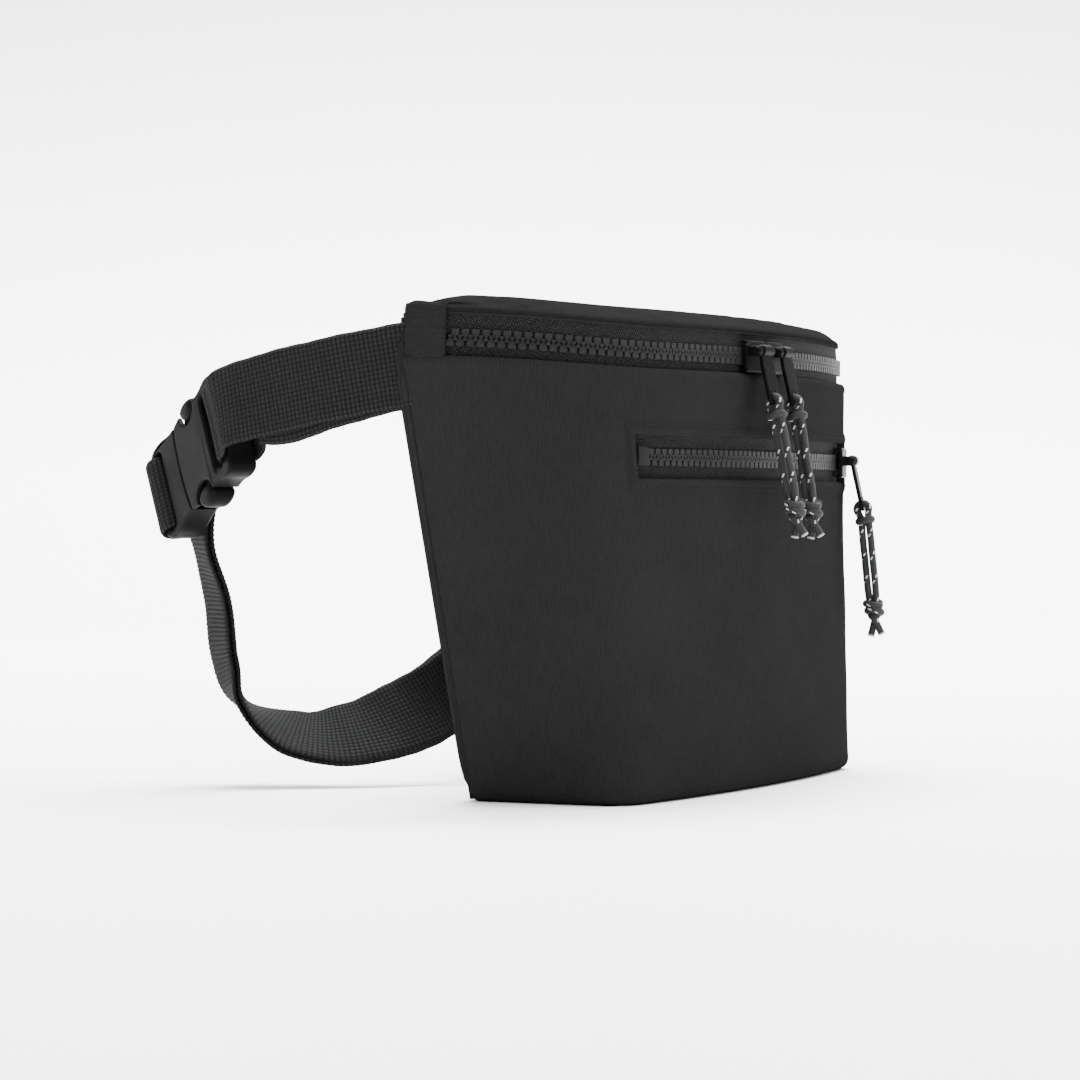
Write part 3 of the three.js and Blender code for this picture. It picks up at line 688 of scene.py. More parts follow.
# ---------- bag body ----------
def body_bulge(u, z):
    """Soft unevenness of the filled front, none at the seams."""
    still = smooth(0, 14, z) * smooth(SEAM_Z, SEAM_Z - 16, z) * smooth(1.0, 0.93, abs(u))
    near_pocket = smooth(10, 22, abs(z - POCKET_Z)) if abs(u) < pocket_u(100) else 1.0
    soft = noise.noise(Vector((u * 2.3, z * 0.018, 3.1))) * 0.7
    fine = noise.noise(Vector((u * 9.0, z * 0.05, 7.7))) * 0.22
    return (soft + fine) * still * near_pocket


def build_body():
    half = pocket_u(WINDOW_HALF)
    us = sorted({round(-1 + 2 * k / 150, 5) for k in range(151)} | {-half, half})
    low, high = POCKET_Z - 6.6, POCKET_Z + 6.6
    rows = [(0.0, 4.0), (0.25, 2.7), (0.9, 1.5), (1.9, 0.6), (3.0, 0.15), (4.2, 0.0)]
    levels = [z for z, _ in rows] + [8 + 3.0 * k for k in range(29)]
    above = [z for z in range(101, 128, 3) if low < z < high or z > high + 1]
    levels = sorted(set(levels + [low, high] + above))
    levels = [z for z in levels if z < SEAM_Z - 3.2]
    lip = [(SEAM_Z - 2.6, 0.0, 0.0), (SEAM_Z - 1.7, -0.28, 0.0), (SEAM_Z - 0.6, -0.1, 0.06),
           (SEAM_Z + 0.15, 0.35, 0.3), (SEAM_Z + 0.45, 0.9, 0.75)]
    tuck = dict(rows)

    def outer(i, j):
        u = us[i]
        if j < len(levels):
            z = levels[j]
            return skin(u, z, SKIN_OUT - tuck.get(z, 0.0) + body_bulge(u, z))
        z, cut, _ = lip[j - len(levels)]
        return skin(u, z, SKIN_OUT - cut)

    def inner(i, j):
        u = us[i]
        if j < len(levels):
            z = levels[j]
            return skin(u, max(z, 0.8), SKIN_OUT - SKIN - tuck.get(z, 0.0) * 0.8 + body_bulge(u, z) * 0.7)
        z, _, drop = lip[j - len(levels)]
        return skin(u, z - drop, SKIN_OUT - SKIN + drop * 0.4)

    heights = levels + [z for z, _, _ in lip]

    def skip(i, j):
        inside_u = us[i] >= -half - 1e-6 and us[i + 1] <= half + 1e-6
        return inside_u and heights[j] >= low - 1e-6 and heights[j + 1] <= high + 1e-6

    bm = bmesh.new()
    add_solid(bm, outer, inner, len(us) - 1, len(heights) - 1, skip,
              lambda i, j: (us[i] * 150, heights[j]))
    new_piece("body_cloth", bm, BODY_CLOTH, "root", ("body_panel",), 55)


def build_base():
    rings = 7
    columns = 80

    def rim(k):
        return skin(-1 + 2 * k / columns, 0, SKIN_OUT - 3.7)

    def flat(height):
        def face(i, j):
            edge = rim(i)
            share = 1 - j / rings
            middle = Vector((edge.x * 0.96, 28.5, 0))
            point = middle.lerp(edge, share)
            sag = 0.9 * (1 - share) * share * 4 * height
            return Vector((point.x, point.y, 0.25 + sag * 0.6 + (1.9 if height else 0.0)))
        return face

    bm = bmesh.new()
    add_solid(bm, flat(0), flat(1), columns, rings, None, lambda i, j: (i * 2.6, j * 9))
    new_piece("base_cloth", bm, BODY_CLOTH, "root", ("base_panel",), 60)


def back_edge(z):
    """Half width and depth of the back where it meets the sides, from the base up to the seam."""
    share = min(1.0, z / 131)
    base_half, seam_half = 91.5, 120
    base_depth, seam_depth = 63.7, 73
    return (base_half + (seam_half - base_half) * share,
            base_depth + (seam_depth - base_depth) * share - BACK_SHIFT)


def build_back():
    """Padded back with spacer mesh, sewn in three lying channels."""
    columns, rows = 60, 56
    low, top = 0.6, 147.3
    seams = (50, 98)

    def half_width(z):
        return back_edge(z)[0] - (2.6 if z > 142 else 0)

    def puff(u, z):
        edge = smooth(1.0, 0.93, abs(u)) * smooth(low, low + 6, z) * smooth(top, top - 6, z)
        channel = min(1.0, min(abs(z - s) for s in seams) / 5)
        uneven = 0.5 * noise.noise(Vector((u * 4, z * 0.04, 1.0)))
        return edge * (3.6 * (0.25 + 0.75 * math.sqrt(channel)) + uneven)

    def face(behind):
        def point(i, j):
            u = -1 + 2 * i / columns
            z = low + (top - low) * j / rows
            y = back_edge(z)[1]
            return Vector((half_width(z) * u, y + (2.0 + puff(u, z) if behind else 0.0), z))
        return point

    bm = bmesh.new()
    add_solid(bm, face(True), face(False), columns, rows, None, lambda i, j: (i * 4, j * 2.6))
    new_piece("back_pad", bm, BACK_MESH, "root", ("back_panel",), 60)
    line = bmesh.new()
    for z in seams:
        y = back_edge(z)[1] + 2.9
        width = half_width(z) - 4
        path = [Vector((-width + 2 * width * k / 60, y, z)) for k in range(61)]
        add_stitches(line, path, Vector((0, 1, 0)), 3.0, 2.3)
    new_piece("back_stitches", line, THREAD, "root")
    rim = bmesh.new()
    for side in (-1, 1):
        path = []
        for k in range(61):
            z = 2.4 + 143.4 * k / 60
            drawn_in = 4.5 * (1 - min(1.0, z / 16)) ** 2 + 1.6 * smooth(126, 131, z) + 1.2 * smooth(136, 146, z)
            half, y = back_edge(z)
            path.append(Vector((side * (half - 0.5 - drawn_in), y + 1.2, z)))
        add_tube(rim, path, lambda t: 2.35 if 0.02 < t < 0.98 else 1.7, 14)
    new_piece("back_rims", rim, BODY_CLOTH, "root")


# ---------- top panel, a padded piece blown up as cloth ----------
# The rolled front edge of the top, from its seam: height over the seam and distance outward.
EDGE = [(-0.3, -0.9), (0.3, -0.45), (1.0, -0.6), (1.7, -1.3)]


def build_top():
    columns, rows = 110, 26
    hinge_y, hinge_z = 75.3 - BACK_SHIFT, 147.6

    def rest_point(u, t):
        front = skin(u, TOP_SEAM_Z + 2.3, -2.4)
        back = Vector((115 * u, hinge_y, hinge_z + 2.0))
        point = front.lerp(back, t)
        crown = 1.7 * math.sin(math.pi * t) ** 0.6 if 0 < t < 1 else 0.0
        return point + Vector((0, 0, crown * (1 - abs(u) ** 14)))

    bm = bmesh.new()
    grid = [[bm.verts.new(rest_point(-1 + 2 * i / columns, (j / rows) ** 1.25)) for j in range(rows + 1)]
            for i in range(columns + 1)]
    for i in range(columns):
        for j in range(rows):
            bm.faces.new([grid[i][j], grid[i + 1][j], grid[i + 1][j + 1], grid[i][j + 1]])
    bm.verts.index_update()
    held = [grid[i][j].index for i in range(columns + 1) for j in range(rows + 1)
            if i in (0, columns) or j in (0, rows)]
    bmesh.ops.scale(bm, vec=(MM * 10, MM * 10, MM * 10), verts=bm.verts[:])
    mesh = bpy.data.meshes.new("top_sim")
    bm.to_mesh(mesh)
    bm.free()
    rest = [v.co.copy() for v in mesh.vertices]
    sim = bpy.data.objects.new("top_sim", mesh)
    bpy.context.scene.collection.objects.link(sim)
    group = sim.vertex_groups.new(name="held")
    group.add(held, 1.0, "REPLACE")
    cloth = sim.modifiers.new("cloth", "CLOTH")
    cloth.settings.quality = 6
    cloth.settings.mass = 0.25
    cloth.settings.tension_stiffness = 18
    cloth.settings.compression_stiffness = 18
    cloth.settings.shear_stiffness = 8
    cloth.settings.bending_stiffness = 1.6
    cloth.settings.vertex_group_mass = "held"
    cloth.settings.use_pressure = True
    cloth.settings.uniform_pressure_force = 1.1
    cloth.settings.shrink_min = -0.022
    cloth.settings.effector_weights.gravity = 0.0
    cloth.point_cache.frame_start = 1
    cloth.point_cache.frame_end = 24
    for step in range(1, 25):
        bpy.context.scene.frame_set(step)
    shaped = sim.evaluated_get(bpy.context.evaluated_depsgraph_get()).to_mesh()
    moved = [v.co.copy() for v in shaped.vertices]
    sim.modifiers.clear()
    bpy.context.scene.frame_set(1)
    points = []
    for before, after in zip(rest, moved):
        shift = (after - before) / (MM * 10)
        shift.x = max(-0.8, min(0.8, shift.x))
        shift.y = max(-0.8, min(0.8, shift.y))
        shift.z = max(-0.6, min(2.2, shift.z))
        points.append(before / (MM * 10) + shift)
    bpy.data.objects.remove(sim)

    def outer(i, j):
        u = -1 + 2 * i / columns
        if j < len(EDGE):
            return skin(u, TOP_SEAM_Z + EDGE[j][0], EDGE[j][1])
        return points[i * (rows + 1) + j - len(EDGE)]

    def inner(i, j):
        u = -1 + 2 * i / columns
        if j < len(EDGE):
            return skin(u, TOP_SEAM_Z + 0.1 + EDGE[j][0] * 0.3, -2.4)
        point = points[i * (rows + 1) + j - len(EDGE)].copy()
        t = ((j - len(EDGE)) / rows) ** 1.25
        back = Vector((115 * u, hinge_y, hinge_z))
        base = skin(u, TOP_SEAM_Z + 0.8, -3.4).lerp(back, t)
        arched = base.z + (1 - abs(u) ** 4) * 1.5 * math.sin(math.pi * t)
        return Vector((base.x, base.y, min(arched, point.z - 0.7)))

    bm = bmesh.new()
    add_solid(bm, outer, inner, columns, rows + len(EDGE), None,
              lambda i, j: (-120 + 240 * i / columns, 70 * (j / rows)))
    top = new_piece("top_cloth", bm, TOP_CLOTH, "top_flap", ("top_panel",), 70)
    piping = bmesh.new()
    path = [skin(-0.93 + 1.86 * k / 160, TOP_SEAM_Z - 0.3, -0.95) for k in range(161)]
    add_tube(piping, path, 0.5, 8)
    new_piece("top_binding", piping, BINDING, "top_flap")


# ---------- zips ----------
def tooth(bm, matrix, side, foot, thick=2.4, out=0.05):
    """One moulded tooth: a foot on the tape, a waist and a round head past the middle."""
    outline = [(-1.16, -foot), (1.16, -foot), (1.22, -1.3), (0.95, -0.75), (0.5, -0.45), (0.44, -0.1),
               (0.72, 0.14), (0.8, 0.5), (0.58, 0.88), (0.0, 1.02), (-0.58, 0.88), (-0.8, 0.5),
               (-0.72, 0.14), (-0.44, -0.1), (-0.5, -0.45), (-0.95, -0.75), (-1.22, -1.3)]
    rings = []
    for depth, inset in ((out + thick * 0.98, 0.0), (out + 0.2, 0.0), (out, 0.16)):
        ring = []
        for x, z in outline:
            middle = -1.4 if z < -0.5 else 0.3
            k = 1 - inset / max(math.hypot(x, z - middle), 0.6)
            ring.append(bm.verts.new(matrix @ Vector((x * k, depth, ((z - middle) * k + middle) * -side))))
        rings.append(ring)
    n = len(outline)
    for a, b in zip(rings, rings[1:]):
        for k in range(n):
            bm.faces.new([a[k], a[(k + 1) % n], b[(k + 1) % n], b[k]])
    bm.faces.new(rings[0][::-1])
    bm.faces.new(rings[-1])


def build_teeth(name, side, z, half_mm, to_u, body, node):
    bm = bmesh.new()
    count = int(2 * half_mm / PITCH)
    for k in range(count):
        place = -half_mm + PITCH * (k + 0.5 + (0.25 if side > 0 else -0.25))
        tooth(bm, skin_frame(to_u(place), z), side, 2.6, 2.4, -0.15)
    new_piece(name, bm, TEETH, body, (node,), 35)


def build_tape(name, low, high, end, body, node, out=-1.0, lean=0.0):
    """Tape as a thin band laid on the skin, with a faint ripple and an optional lean."""
    columns = max(40, int(end * 150))
    rows = 6

    def outer(i, j):
        u = -end + 2 * end * i / columns
        z = low + (high - low) * j / rows
        ripple = 0.12 * noise.noise(Vector((u * 14, z * 0.3, 5)))
        return skin(u, z, out + ripple - lean * j / rows)

    def inner(i, j):
        u = -end + 2 * end * i / columns
        return skin(u, low + (high - low) * j / rows, out - 0.6 - lean * j / rows)

    bm = bmesh.new()
    add_solid(bm, outer, inner, columns, rows, None,
              lambda i, j: (-end * 150 + 300 * end * i / columns, low + (high - low) * j / rows))
    new_piece(name, bm, TAPE, body, (node,), 60)


def build_main_zip():
    end = ZIP_HALF / ZIP_LENGTH
    build_tape("zip_tape_lower", 126.8, ZIP_Z - 1.2, end, "root", "main_tape_lower")
    build_tape("zip_tape_upper", ZIP_Z + 1.2, 144.2, end, "top_flap", "main_tape_upper", -0.9, 0.5)
    for name, side, body in (("lower", -1, "root"), ("upper", 1, "top_flap")):
        build_teeth(f"zip_teeth_{name}", side, ZIP_Z, ZIP_HALF - 3, lambda d: d / ZIP_LENGTH, body,
                    f"main_teeth_{name}")
    for side_name, side in (("left", -1), ("right", 1)):
        for part, low, high, fall, body in (("lower", 129.5, 139.05, 0.0, "root"),
                                            ("upper", 139.1, 147.3, 1.2, "top_flap")):
            a, b = side * 0.917, side * 0.999
            us = [a + (b - a) * k / 14 for k in range(15)]

            def outer(i, j, low=low, high=high, fall=fall, us=us):
                z = low + (high - low - fall * (14 - i) / 14 - fall * smooth(10, 14, i)) * j / 6
                round_top = 2.8 * smooth(143.6, 148.6, z) ** 2
                round_rear = 0.7 * smooth(11, 14, i) ** 2
                fold = -0.5 if i == 0 else 0.12 * math.sin(i * 0.9)
                return skin(us[i], z, 1.35 + fold - round_top - round_rear)

            def inner(i, j, low=low, high=high, fall=fall, us=us):
                z = low + (high - low - fall * (14 - i) / 14 - fall * smooth(10, 14, i)) * j / 6
                return skin(us[i], z, -1.6 - 2.2 * smooth(143.6, 148.6, z))

            bm = bmesh.new()
            add_solid(bm, outer, inner, 14, 6, None,
                      lambda i, j, low=low, high=high: (low + (high - low) * j / 6, i * 1.0))
            new_piece(f"{side_name}_end_{part}", bm, BINDING, body,
                      (f"{side_name}_end_tab_{part}",), 60)


def build_pocket():
    half, welt = pocket_u(WINDOW_HALF), pocket_u(WINDOW_HALF + 3.6)
    us = sorted([-welt + 2 * welt * k / 90 for k in range(91)]
                + [side * (half + pocket_u(x)) for side in (-1, 1) for x in (0, 0.5, 1.2, 1.9, 2.4, 2.9)])
    offsets = (6.5, 7.0, 7.6, 8.4, 8.9, 9.4, 9.9, 10.3)
    zs = [POCKET_Z - dz for dz in reversed(offsets)] + [POCKET_Z + dz for dz in offsets]

    def outer(i, j):
        u, z = us[i], zs[j]
        from_window = max(abs(z - POCKET_Z) - 6.5, (abs(u) - half) / pocket_u(1))
        fold = 0.55 * smooth(-0.1, 0.6, from_window) * smooth(3.7, 2.4, from_window)
        groove = 0.35 * max(0.0, 1 - abs(from_window - 2.6) / 0.5)
        return skin(u, z, SKIN_OUT + 0.1 + fold - groove)

    def inner(i, j):
        return skin(us[i], zs[j], SKIN_OUT - 0.7)

    def skip(i, j):
        inside_u = us[i] >= -half - 1e-6 and us[i + 1] <= half + 1e-6
        return inside_u and zs[j] > POCKET_Z - 6.6 and zs[j + 1] < POCKET_Z + 6.6

    bm = bmesh.new()
    add_solid(bm, outer, inner, len(us) - 1, len(zs) - 1, skip, lambda i, j: (us[i] * 150, zs[j]))
    new_piece("pocket_frame", bm, BODY_CLOTH, "root", ("pocket_welt",), 60)
    line = bmesh.new()
    edge_u = half + pocket_u(2.6)
    for dz in (-9.1, 9.1):
        path = [skin(-edge_u + 2 * edge_u * k / 80, POCKET_Z + dz, SKIN_OUT + 0.3) for k in range(81)]
        add_stitches(line, path, Vector((0, -1, 0)), 2.5, 1.8, 0.2)
    for side in (-1, 1):
        path = [skin(side * edge_u, POCKET_Z - 9.0 + 18.0 * k / 8, SKIN_OUT + 0.3) for k in range(9)]
        add_stitches(line, path, Vector((side * 0.3, -1, 0)), 2.5, 1.8, 0.2)
    new_piece("pocket_stitches", line, THREAD, "root")
    tape_end = pocket_u(WINDOW_HALF + 1.6)
    build_tape("pocket_tape_low", POCKET_Z - 8.8, POCKET_Z - 1.2, tape_end, "root", "pocket_tape_lower", -0.9)
    build_tape("pocket_tape_high", POCKET_Z + 1.2, POCKET_Z + 8.8, tape_end, "root", "pocket_tape_upper", -0.9)
    build_teeth("pocket_teeth_low", -1, POCKET_Z, 81.6, pocket_u, "root", "pocket_teeth_lower")
    build_teeth("pocket_teeth_high", 1, POCKET_Z, 81.6, pocket_u, "root", "pocket_teeth_upper")
    for side_name, side in (("left", -1), ("right", 1)):
        bm = bmesh.new()
        spot_frame = skin_frame(pocket_u(side * 84.6), POCKET_Z) @ Matrix.Rotation(math.pi / 2, 4, "X")
        block = rounded([(-2.1, -2.6), (2.1, -2.6), (2.1, 2.6), (-2.1, 2.6)], 0.35)
        add_plate(bm, block, -0.3, 2.3, 0.25, matrix=spot_frame)
        for x in (-1.5, -0.5, 0.5, 1.5):
            notch = [(x - 0.3, 2.4), (x + 0.3, 2.4), (x + 0.3, 3.0), (x - 0.3, 3.0)]
            add_plate(bm, notch, 0.0, 2.2, 0.1, matrix=spot_frame, bevel_steps=1)
        new_piece(f"pocket_stop_block_{side_name}", bm, TEETH, "root",
                  (f"pocket_stop_{side_name}",), 35)
    pouch_half = pocket_u(83.5)
    profile = [(97.5, -2.8), (96, -5), (92, -8.6), (84, -11.2), (66, -12.6), (52, -12), (44, -9), (41, -6),
               (40.4, -4), (44, -3.2), (60, -3), (90, -3), (95, -3.2)]

    def pouch(inset):
        def point(i, j):
            share = -1 + 2 * i / 40
            z, out = profile[j]
            slack = (1 - share ** 6)
            middle_z, middle_out = 70, -6
            depth = (-3 + (out + 3) * (0.25 + 0.75 * slack)) * (1 - inset) + middle_out * inset
            return skin(pouch_half * share, z * (1 - inset) + middle_z * inset, depth)
        return point

    bm = bmesh.new()
    add_solid(bm, pouch(0.0), pouch(0.06), 40, len(profile) - 1, None, lambda i, j: (i * 3.8, j * 8))
    new_piece("pocket_lining", bm, LINING, "root", ("pocket_bag",), 60)


# ---------- sliders and tabs ----------
def build_slider(name):
    slider, tab, head, front = PULLS[name]
    bar_z = 1.7 if name != "pocket" else 0.7
    upright = slider @ Matrix.Rotation(math.pi / 2, 4, "X")
    outline = rounded([(-6.3 * head, -3.6), (-3.5 * head, -4.5), (2.6 * head, -4.9), (6.4 * head, -4.7),
                       (6.4 * head, 4.7), (2.6 * head, 4.9), (-3.5 * head, 4.5), (-6.3 * head, 3.6)], 1.0)
    bm = bmesh.new()
    add_plate(bm, outline, front, front + 1.3, 0.3, matrix=upright)
    add_plate(bm, outline, -4.3, -3.3, 0.35, matrix=upright)
    for z in (-4.5, 4.5):
        flange = rounded([(-5.6, z - 0.45), (6.0, z - 0.45), (6.0, z + 0.45), (-5.6, z + 0.45)], 0.3)
        flange = [(x * head, y) for x, y in flange]
        add_plate(bm, flange, front - 1.2, front + 1.0, 0.25, matrix=upright)
    post = rounded([(2.4 * head, -0.4), (6.2 * head, -0.5), (6.2 * head, 0.5), (2.4 * head, 0.4)], 0.2)
    add_plate(bm, post, -3.8, front + 0.6, 0.1, matrix=upright)
    for x in (-4.1, 4.1):
        leg = rounded([(x - 0.75, bar_z - 1.7), (x + 0.75, bar_z - 1.7), (x + 0.75, bar_z + 1.5),
                       (x - 0.75, bar_z + 1.5)], 0.5)
        add_plate(bm, leg, front + 0.6, BAR_OUT + 0.9, 0.4, matrix=upright)
        knob = [slider @ Vector((x + s, -BAR_OUT, bar_z)) for s in (-1.0, -0.5, 0.5, 1.0)]
        add_tube(bm, knob, lambda t: 1.0 if t in (0, 1) else 1.4, 12)
    bar = [slider @ Vector((x, -BAR_OUT, bar_z)) for x in (-4.4, -2, 2, 4.4)]
    add_tube(bm, bar, 0.72, 12)
    new_piece(f"{name}_slider_body", bm, LACQUER, f"{name}_slider", (f"{name}_slider",), 35, True)

    flat = tab @ Matrix.Rotation(math.pi / 2, 4, "X")
    shape = rounded([(-3.2, -0.6), (3.2, -0.6), (3.9, -4.6), (3.15, -16.2), (2.0, -TAB_LENGTH),
                     (-2.0, -TAB_LENGTH), (-3.15, -16.2), (-3.9, -4.6)], 1.1)
    hole = [(1.35 * math.cos(a), -TAB_LENGTH + 2.8 + 1.2 * math.sin(a))
            for a in (2 * math.pi * k / 20 for k in range(20))]
    bm = bmesh.new()
    add_plate(bm, shape, -0.62, 0.62, 0.3, [hole], matrix=flat)
    eye = [tab @ Vector((x, 0, 0)) for x in (-2.8, -2.4, 2.4, 2.8)]
    add_tube(bm, eye, lambda t: 1.55 if t in (0, 1) else 1.9, 16)
    for x in (-1.1, 1.1):
        add_ball(bm, (x, -12.9, 0.7), (0.38, 0.38, 0.16), flat, 10)
    new_piece(f"{name}_tab", bm, LACQUER, f"{name}_pull", (f"{name}_pull_tab",), 35, True)


# ---------- webbing ----------
ALONG = Vector((0.505, 0.728, -0.463)).normalized()
ACROSS = Vector((-0.246, -0.3925, -0.885))
ACROSS = (ACROSS - ALONG * ACROSS.dot(ALONG)).normalized()
FACE = ALONG.cross(ACROSS)
BUCKLE = Vector((-108.6, 145 - BACK_SHIFT, 113.1))


def on_buckle(along, across, out):
    return BUCKLE + ALONG * along + ACROSS * across + FACE * out


def at(x, y, z, wx, wy, wz):
    return Vector((x, y - BACK_SHIFT, z)), Vector((wx, wy, wz))


def on_bar(along, out):
    return on_buckle(along, 0, out), ACROSS.copy()


def ribbon(name, stations, body, offset=0.0, start=0.0, end=1.0, replaces=(), rib=1.45, cup=0.0):
    """Webbing along stations, with real cross ribs and rounded selvedges."""
    rough = curve_through([p for p, _ in stations], 60)
    total = rough[-1][2]
    columns = int(total * (end - start) / (rib / 4))
    fine = curve_through([p for p, _ in stations], int(columns / (end - start)))
    first = int(len(fine) * start)
    fine = fine[first:first + columns + 1]
    columns = len(fine) - 1
    frames = []
    for k, (t, place, run) in enumerate(fine):
        a, b = fine[max(0, k - 4)][1], fine[min(columns, k + 4)][1]
        along = (b - a).normalized()
        k0 = min(int(t), len(stations) - 2)
        share = t - k0
        share = share * share * (3 - 2 * share)
        width = stations[k0][1].normalized().lerp(stations[k0 + 1][1].normalized(), share)
        width = (width - along * width.dot(along)).normalized()
        frames.append((place, width, along.cross(width), run))
    rows = 20

    def side(sign):
        def point(i, j):
            place, width, normal, run = frames[i]
            w = -1 + 2 * j / rows
            edge = 1 - max(0.0, (abs(w) - 0.9) / 0.1) ** 2 * 0.75
            ridge = abs(math.sin(math.pi * run / rib)) ** 0.7
            thick = (WEBBING_THICK / 2 - 0.2 + 0.26 * ridge) * edge
            wander = 0.1 * math.sin(run * 0.31) + 0.05 * math.sin(run * 0.83)
            bend = cup * (w * w - 0.33)
            half = WEBBING / 2 + wander + 0.1 * ridge
            return place + width * (w * half) + normal * (offset + sign * thick + bend)
        return point

    bm = bmesh.new()
    add_solid(bm, side(1), side(-1), columns, rows, None,
              lambda i, j: (WEBBING * j / rows, frames[i][3]))
    return new_piece(name, bm, WEB, body, replaces, 70)


def build_belt():
    ribbon("left_strap_outer", [
        at(-118.2, 68, 132.4, 0, 0, -1), at(-119, 76.2, 131.4, 0, 0, -1), at(-121.4, 96, 128.0, 0, -0.05, -1),
        at(-120.8, 118, 123.9, -0.05, -0.15, -1), on_bar(-13, 4.2), on_bar(-6.5, 2.9), on_bar(-3.4, 2.7),
        on_bar(-1.6, 1.0), on_bar(-1.3, -3.4)], "root", replaces=("left_webbing_outer",), cup=0.25)
    ribbon("left_strap_inner", [
        at(-115.4, 68, 131.9, 0, 0, -1), at(-116.4, 77, 130.7, 0, 0, -1), at(-118.6, 96, 126.3, 0, -0.05, -1),
        at(-116.4, 117, 120.8, -0.05, -0.15, -1), on_bar(-16, -7.2), on_bar(-8, -9.9), on_bar(-3, -9.4),
        on_bar(-1.2, -7.2), on_bar(-1.2, -3.2)], "root", replaces=("left_webbing_inner",), cup=-0.2)
    ribbon("male_strap_loop", [
        on_bar(38.6, -11), on_bar(39.9, -8), on_bar(40, -3), on_bar(41, 1.6), on_bar(44.4, 3),
        on_bar(47.9, 1.4), on_bar(49, -3), on_bar(47, -8), on_bar(44.4, -10.6)],
        "male_buckle", replaces=("male_webbing_loop",))
    run = [
        on_bar(45.4, -12.4), at(-75.2, 169.9, 79.0, -0.6, -0.65, -0.45),
        at(-71.3, 166.5, 59.2, -0.686, -0.72, -0.1), at(-70.2, 164.4, 40.2, -0.686, -0.72, -0.1),
        at(-69.0, 159.4, 27.2, -0.708, -0.67, -0.2),
        at(-61.8, 142.2, 16.6, -0.73, -0.463, -0.5), at(-52.8, 128.1, 16.5, -0.618, -0.353, -0.7),
        at(-40.4, 116.3, 21.2, -0.469, -0.226, -0.85), at(-25.4, 108.2, 28.6, -0.27, -0.13, -0.95),
        at(8, 106, 49, 0, 0, -1), at(50, 109, 76, 0, 0, -1), at(88, 108, 104, 0, 0, -1),
        at(112, 101, 123, 0, 0, -1), at(120, 90, 130.5, 0, 0, -1), at(118.4, 70, 132.5, 0, 0, -1)]
    for label, offset, end in (("outer", 0.95, 1.0), ("inner", -0.95, 0.72)):
        piece = ribbon(f"waist_strap_{label}", run, None, offset, 0.0, end,
                       (f"waist_webbing_{label}",), cup=0.2)
        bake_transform(piece)


# ---------- buckle ----------
def half_to_full(half):
    return list(half) + [(x, -y) for x, y in reversed(half)]


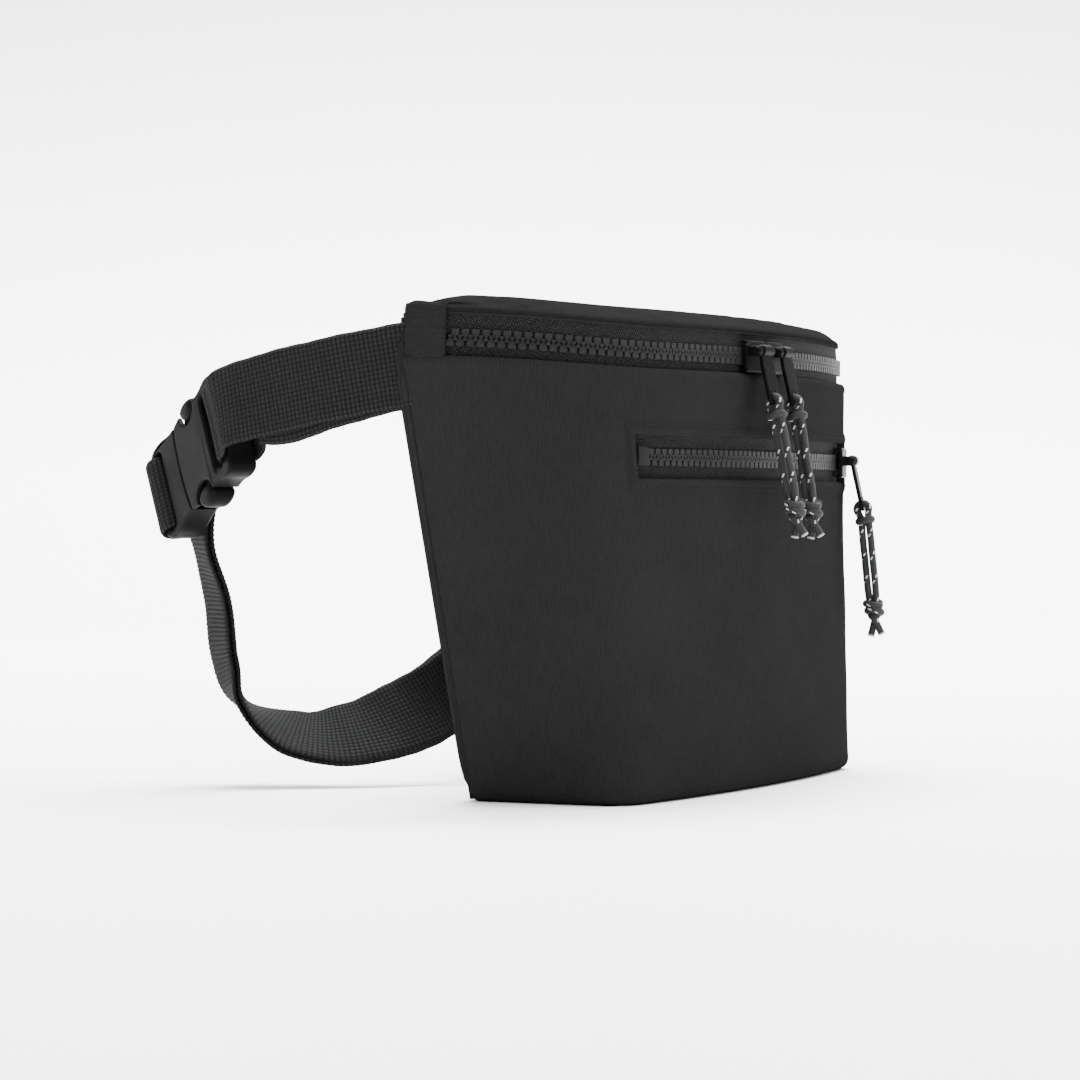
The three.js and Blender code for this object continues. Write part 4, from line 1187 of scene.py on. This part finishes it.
def build_buckle():
    turn = Matrix((ALONG, ACROSS, FACE)).transposed().to_4x4()
    turn.translation = BUCKLE

    def recess(count):
        """The round cut-out in the plate's side where a thumb pad sits."""
        return [(14.6 + 5.8 * math.cos(a), 15.4 - 5.0 * math.sin(a))
                for a in (math.pi - math.pi * k / count for k in range(count + 1))]

    def bowed_edge(x, reach):
        ys = [reach * math.cos(math.pi * k / 12) for k in range(1, 12)]
        return [(x - 1.6 * (y / 14.3) ** 2, y) for y in ys]

    bm = bmesh.new()
    frame_end = rounded(half_to_full([(-6.8, 13.4), (-5.6, 16.6), (-1.4, 17.0), (3.4, 15.6), (8.9, 15.4)]),
                        [2.2, 2.4, 2.6, 2.4, 0.3, 0.3, 2.4, 2.6, 2.4, 2.2])
    slot = rounded([(-2.4, -13.2), (4.2, -13.2), (4.2, 13.2), (-2.4, 13.2)], 2.6)
    add_plate(bm, frame_end, -8.0, 1.6, 1.0, [slot], turn)
    side_edge = recess(10) + [(24.9, 14.5)]
    shell = [(6.5, 15.4)] + side_edge + bowed_edge(26.5, 14.3)
    shell += [(x, -y) for x, y in reversed(side_edge)] + [(6.5, -15.4)]
    add_plate(bm, shell, -0.4, 1.6, 0.75, (), turn)
    add_plate(bm, shell, -8.0, -6.0, 0.75, (), turn)
    for y in (-9.0, 9.0):
        rib = rounded([(6.4, y - 0.55), (25.0, y - 0.45), (25.0, y + 0.45), (6.4, y + 0.55)], 0.3)
        add_plate(bm, rib, -6.4, -0.2, 0.15, (), turn, 1)
    new_piece("buckle_socket", bm, PLASTIC, "root", ("female_buckle",), 32, True)

    bm = bmesh.new()
    bar_slot = rounded([(37.4, -13.2), (42.4, -13.2), (42.4, 13.2), (37.4, 13.2)], 2.2)
    base = [(25.3, -14.4)] + bowed_edge(26.9, 14.3)[::-1] + [(25.3, 14.4)]
    corners = rounded([(25.3, 14.4), (30.5, 14.7), (36.5, 15.9), (43.5, 15.7), (46.8, 13.0),
                       (46.8, -13.0), (43.5, -15.7), (36.5, -15.9), (30.5, -14.7), (25.3, -14.4)],
                      [0.3, 2, 2.2, 2.2, 2.2, 2.2, 2.2, 2.2, 2, 0.3])
    add_plate(bm, base[1:-1] + [tuple(p) for p in corners], -7.9, 1.5, 1.0, [bar_slot], turn)
    guide = rounded([(9, -2.1), (28, -2.3), (28, 2.3), (9, 2.1)], 0.9)
    add_plate(bm, guide, -5.2, -1.2, 0.5, (), turn)
    new_piece("buckle_plug", bm, PLASTIC, "male_buckle", ("male_buckle",), 32, True)

    for name, side in (("lower", 1), ("upper", -1)):
        bm = bmesh.new()
        arm = [(27.2, 8.0), (27.2, 12.2), (21.2, 13.4), (20.2, 16.6), (17.6, 17.8), (12.8, 17.6), (10.4, 15.2),
               (9.0, 12.0), (10.8, 9.4), (17, 9.8)]
        radii = [0.4, 0.4, 0.9, 1.6, 2.4, 2.4, 1.8, 1.0, 1.0, 2.0]
        outline = rounded([(x, side * y) for x, y in arm], radii, 5)
        add_plate(bm, outline, -6.0, -0.5, 0.9, (), turn)
        pad = [(14.6 + 5.0 * math.cos(a), side * (15.6 + (2.7 if math.sin(a) > 0 else 3.7) * math.sin(a)))
               for a in (2 * math.pi * k / 28 for k in range(28))]
        add_plate(bm, pad, -7.6, 1.8, 2.4, (), turn, 6)
        new_piece(f"prong_{name}_arm", bm, PLASTIC, f"prong_{name}",
                  (f"prong_{name}",), 32, True)


build_body()
build_base()
build_back()
build_top()
build_main_zip()
build_pocket()
for pull_name in PULLS:
    build_slider(pull_name)
build_belt()
build_buckle()


# ---------- studio ----------
def build_studio():
    bm = bmesh.new()
    layer = bm.loops.layers.uv.new("mm")
    profile = [(-2500, 0), (-600, 0), (1200, 0)]
    for k in range(13):
        a = math.pi / 2 * k / 12
        profile.append((1600 + 900 * math.sin(a), 900 * (1 - math.cos(a))))
    profile.append((2500, 3500))
    side = Vector((-gaze.y, gaze.x, 0)).normalized()
    ahead = Vector((gaze.x, gaze.y, 0)).normalized()
    rows = []
    for d, z in profile:
        rows.append([bm.verts.new(ahead * d + side * w + Vector((0, 0, z - 0.05))) for w in (-4000, 4000)])
    for a, b in zip(rows, rows[1:]):
        face = bm.faces.new([a[0], a[1], b[1], b[0]])
        for loop in face.loops:
            loop[layer].uv = (loop.vert.co.x / 100, loop.vert.co.y / 100)
    n = Nodes("studio_floor")
    patch = n.noise(n.place(), 1.2, 2.0)
    height = n.node("ShaderNodeSeparateXYZ")
    n.put(height.inputs[0], n.place())
    paper = n.mix(patch, (0.86, 0.86, 0.86), (0.88, 0.88, 0.88))
    # painted shade: the sweep turns from paper white to grey 0.3 as it rises from 0.12 m to 0.75 m, standing in
    # for light falling off up the backdrop
    colour = n.mix(n.ramp(height.outputs[2], 0.12, 0.75), paper, (0.3, 0.3, 0.3))
    material = n.finish(colour, n.math("MULTIPLY_ADD", patch, 0.05, 0.6), patch, 0.01, 0.0, 0.2)
    floor = new_piece("floor", bm, material, None, (), 60)


def add_light(name, kind_size, power, place, target=(0, 0, 0.08)):
    data = bpy.data.lights.new(name, "AREA")
    data.shape = "DISK"
    data.size = kind_size
    data.energy = power
    lamp = bpy.data.objects.new(name, data)
    lamp.location = place
    lamp.rotation_euler = (Vector(target) - Vector(place)).to_track_quat("-Z", "Y").to_euler()
    bpy.context.scene.collection.objects.link(lamp)


build_studio()
world = bpy.data.worlds.new("studio")
world.use_nodes = True
world.node_tree.nodes["Background"].inputs[0].default_value = (1, 1, 1, 1)
world.node_tree.nodes["Background"].inputs[1].default_value = 1.85
bpy.context.scene.world = world
add_light("top", 2.2, 190, (0.35, -0.1, 2.1))
add_light("key", 0.5, 12, (0.5, -1.25, 1.5))
add_light("wash", 2.0, 420, (1.0, 0.5, 2.4), (2.4, 1.15, 0.4))
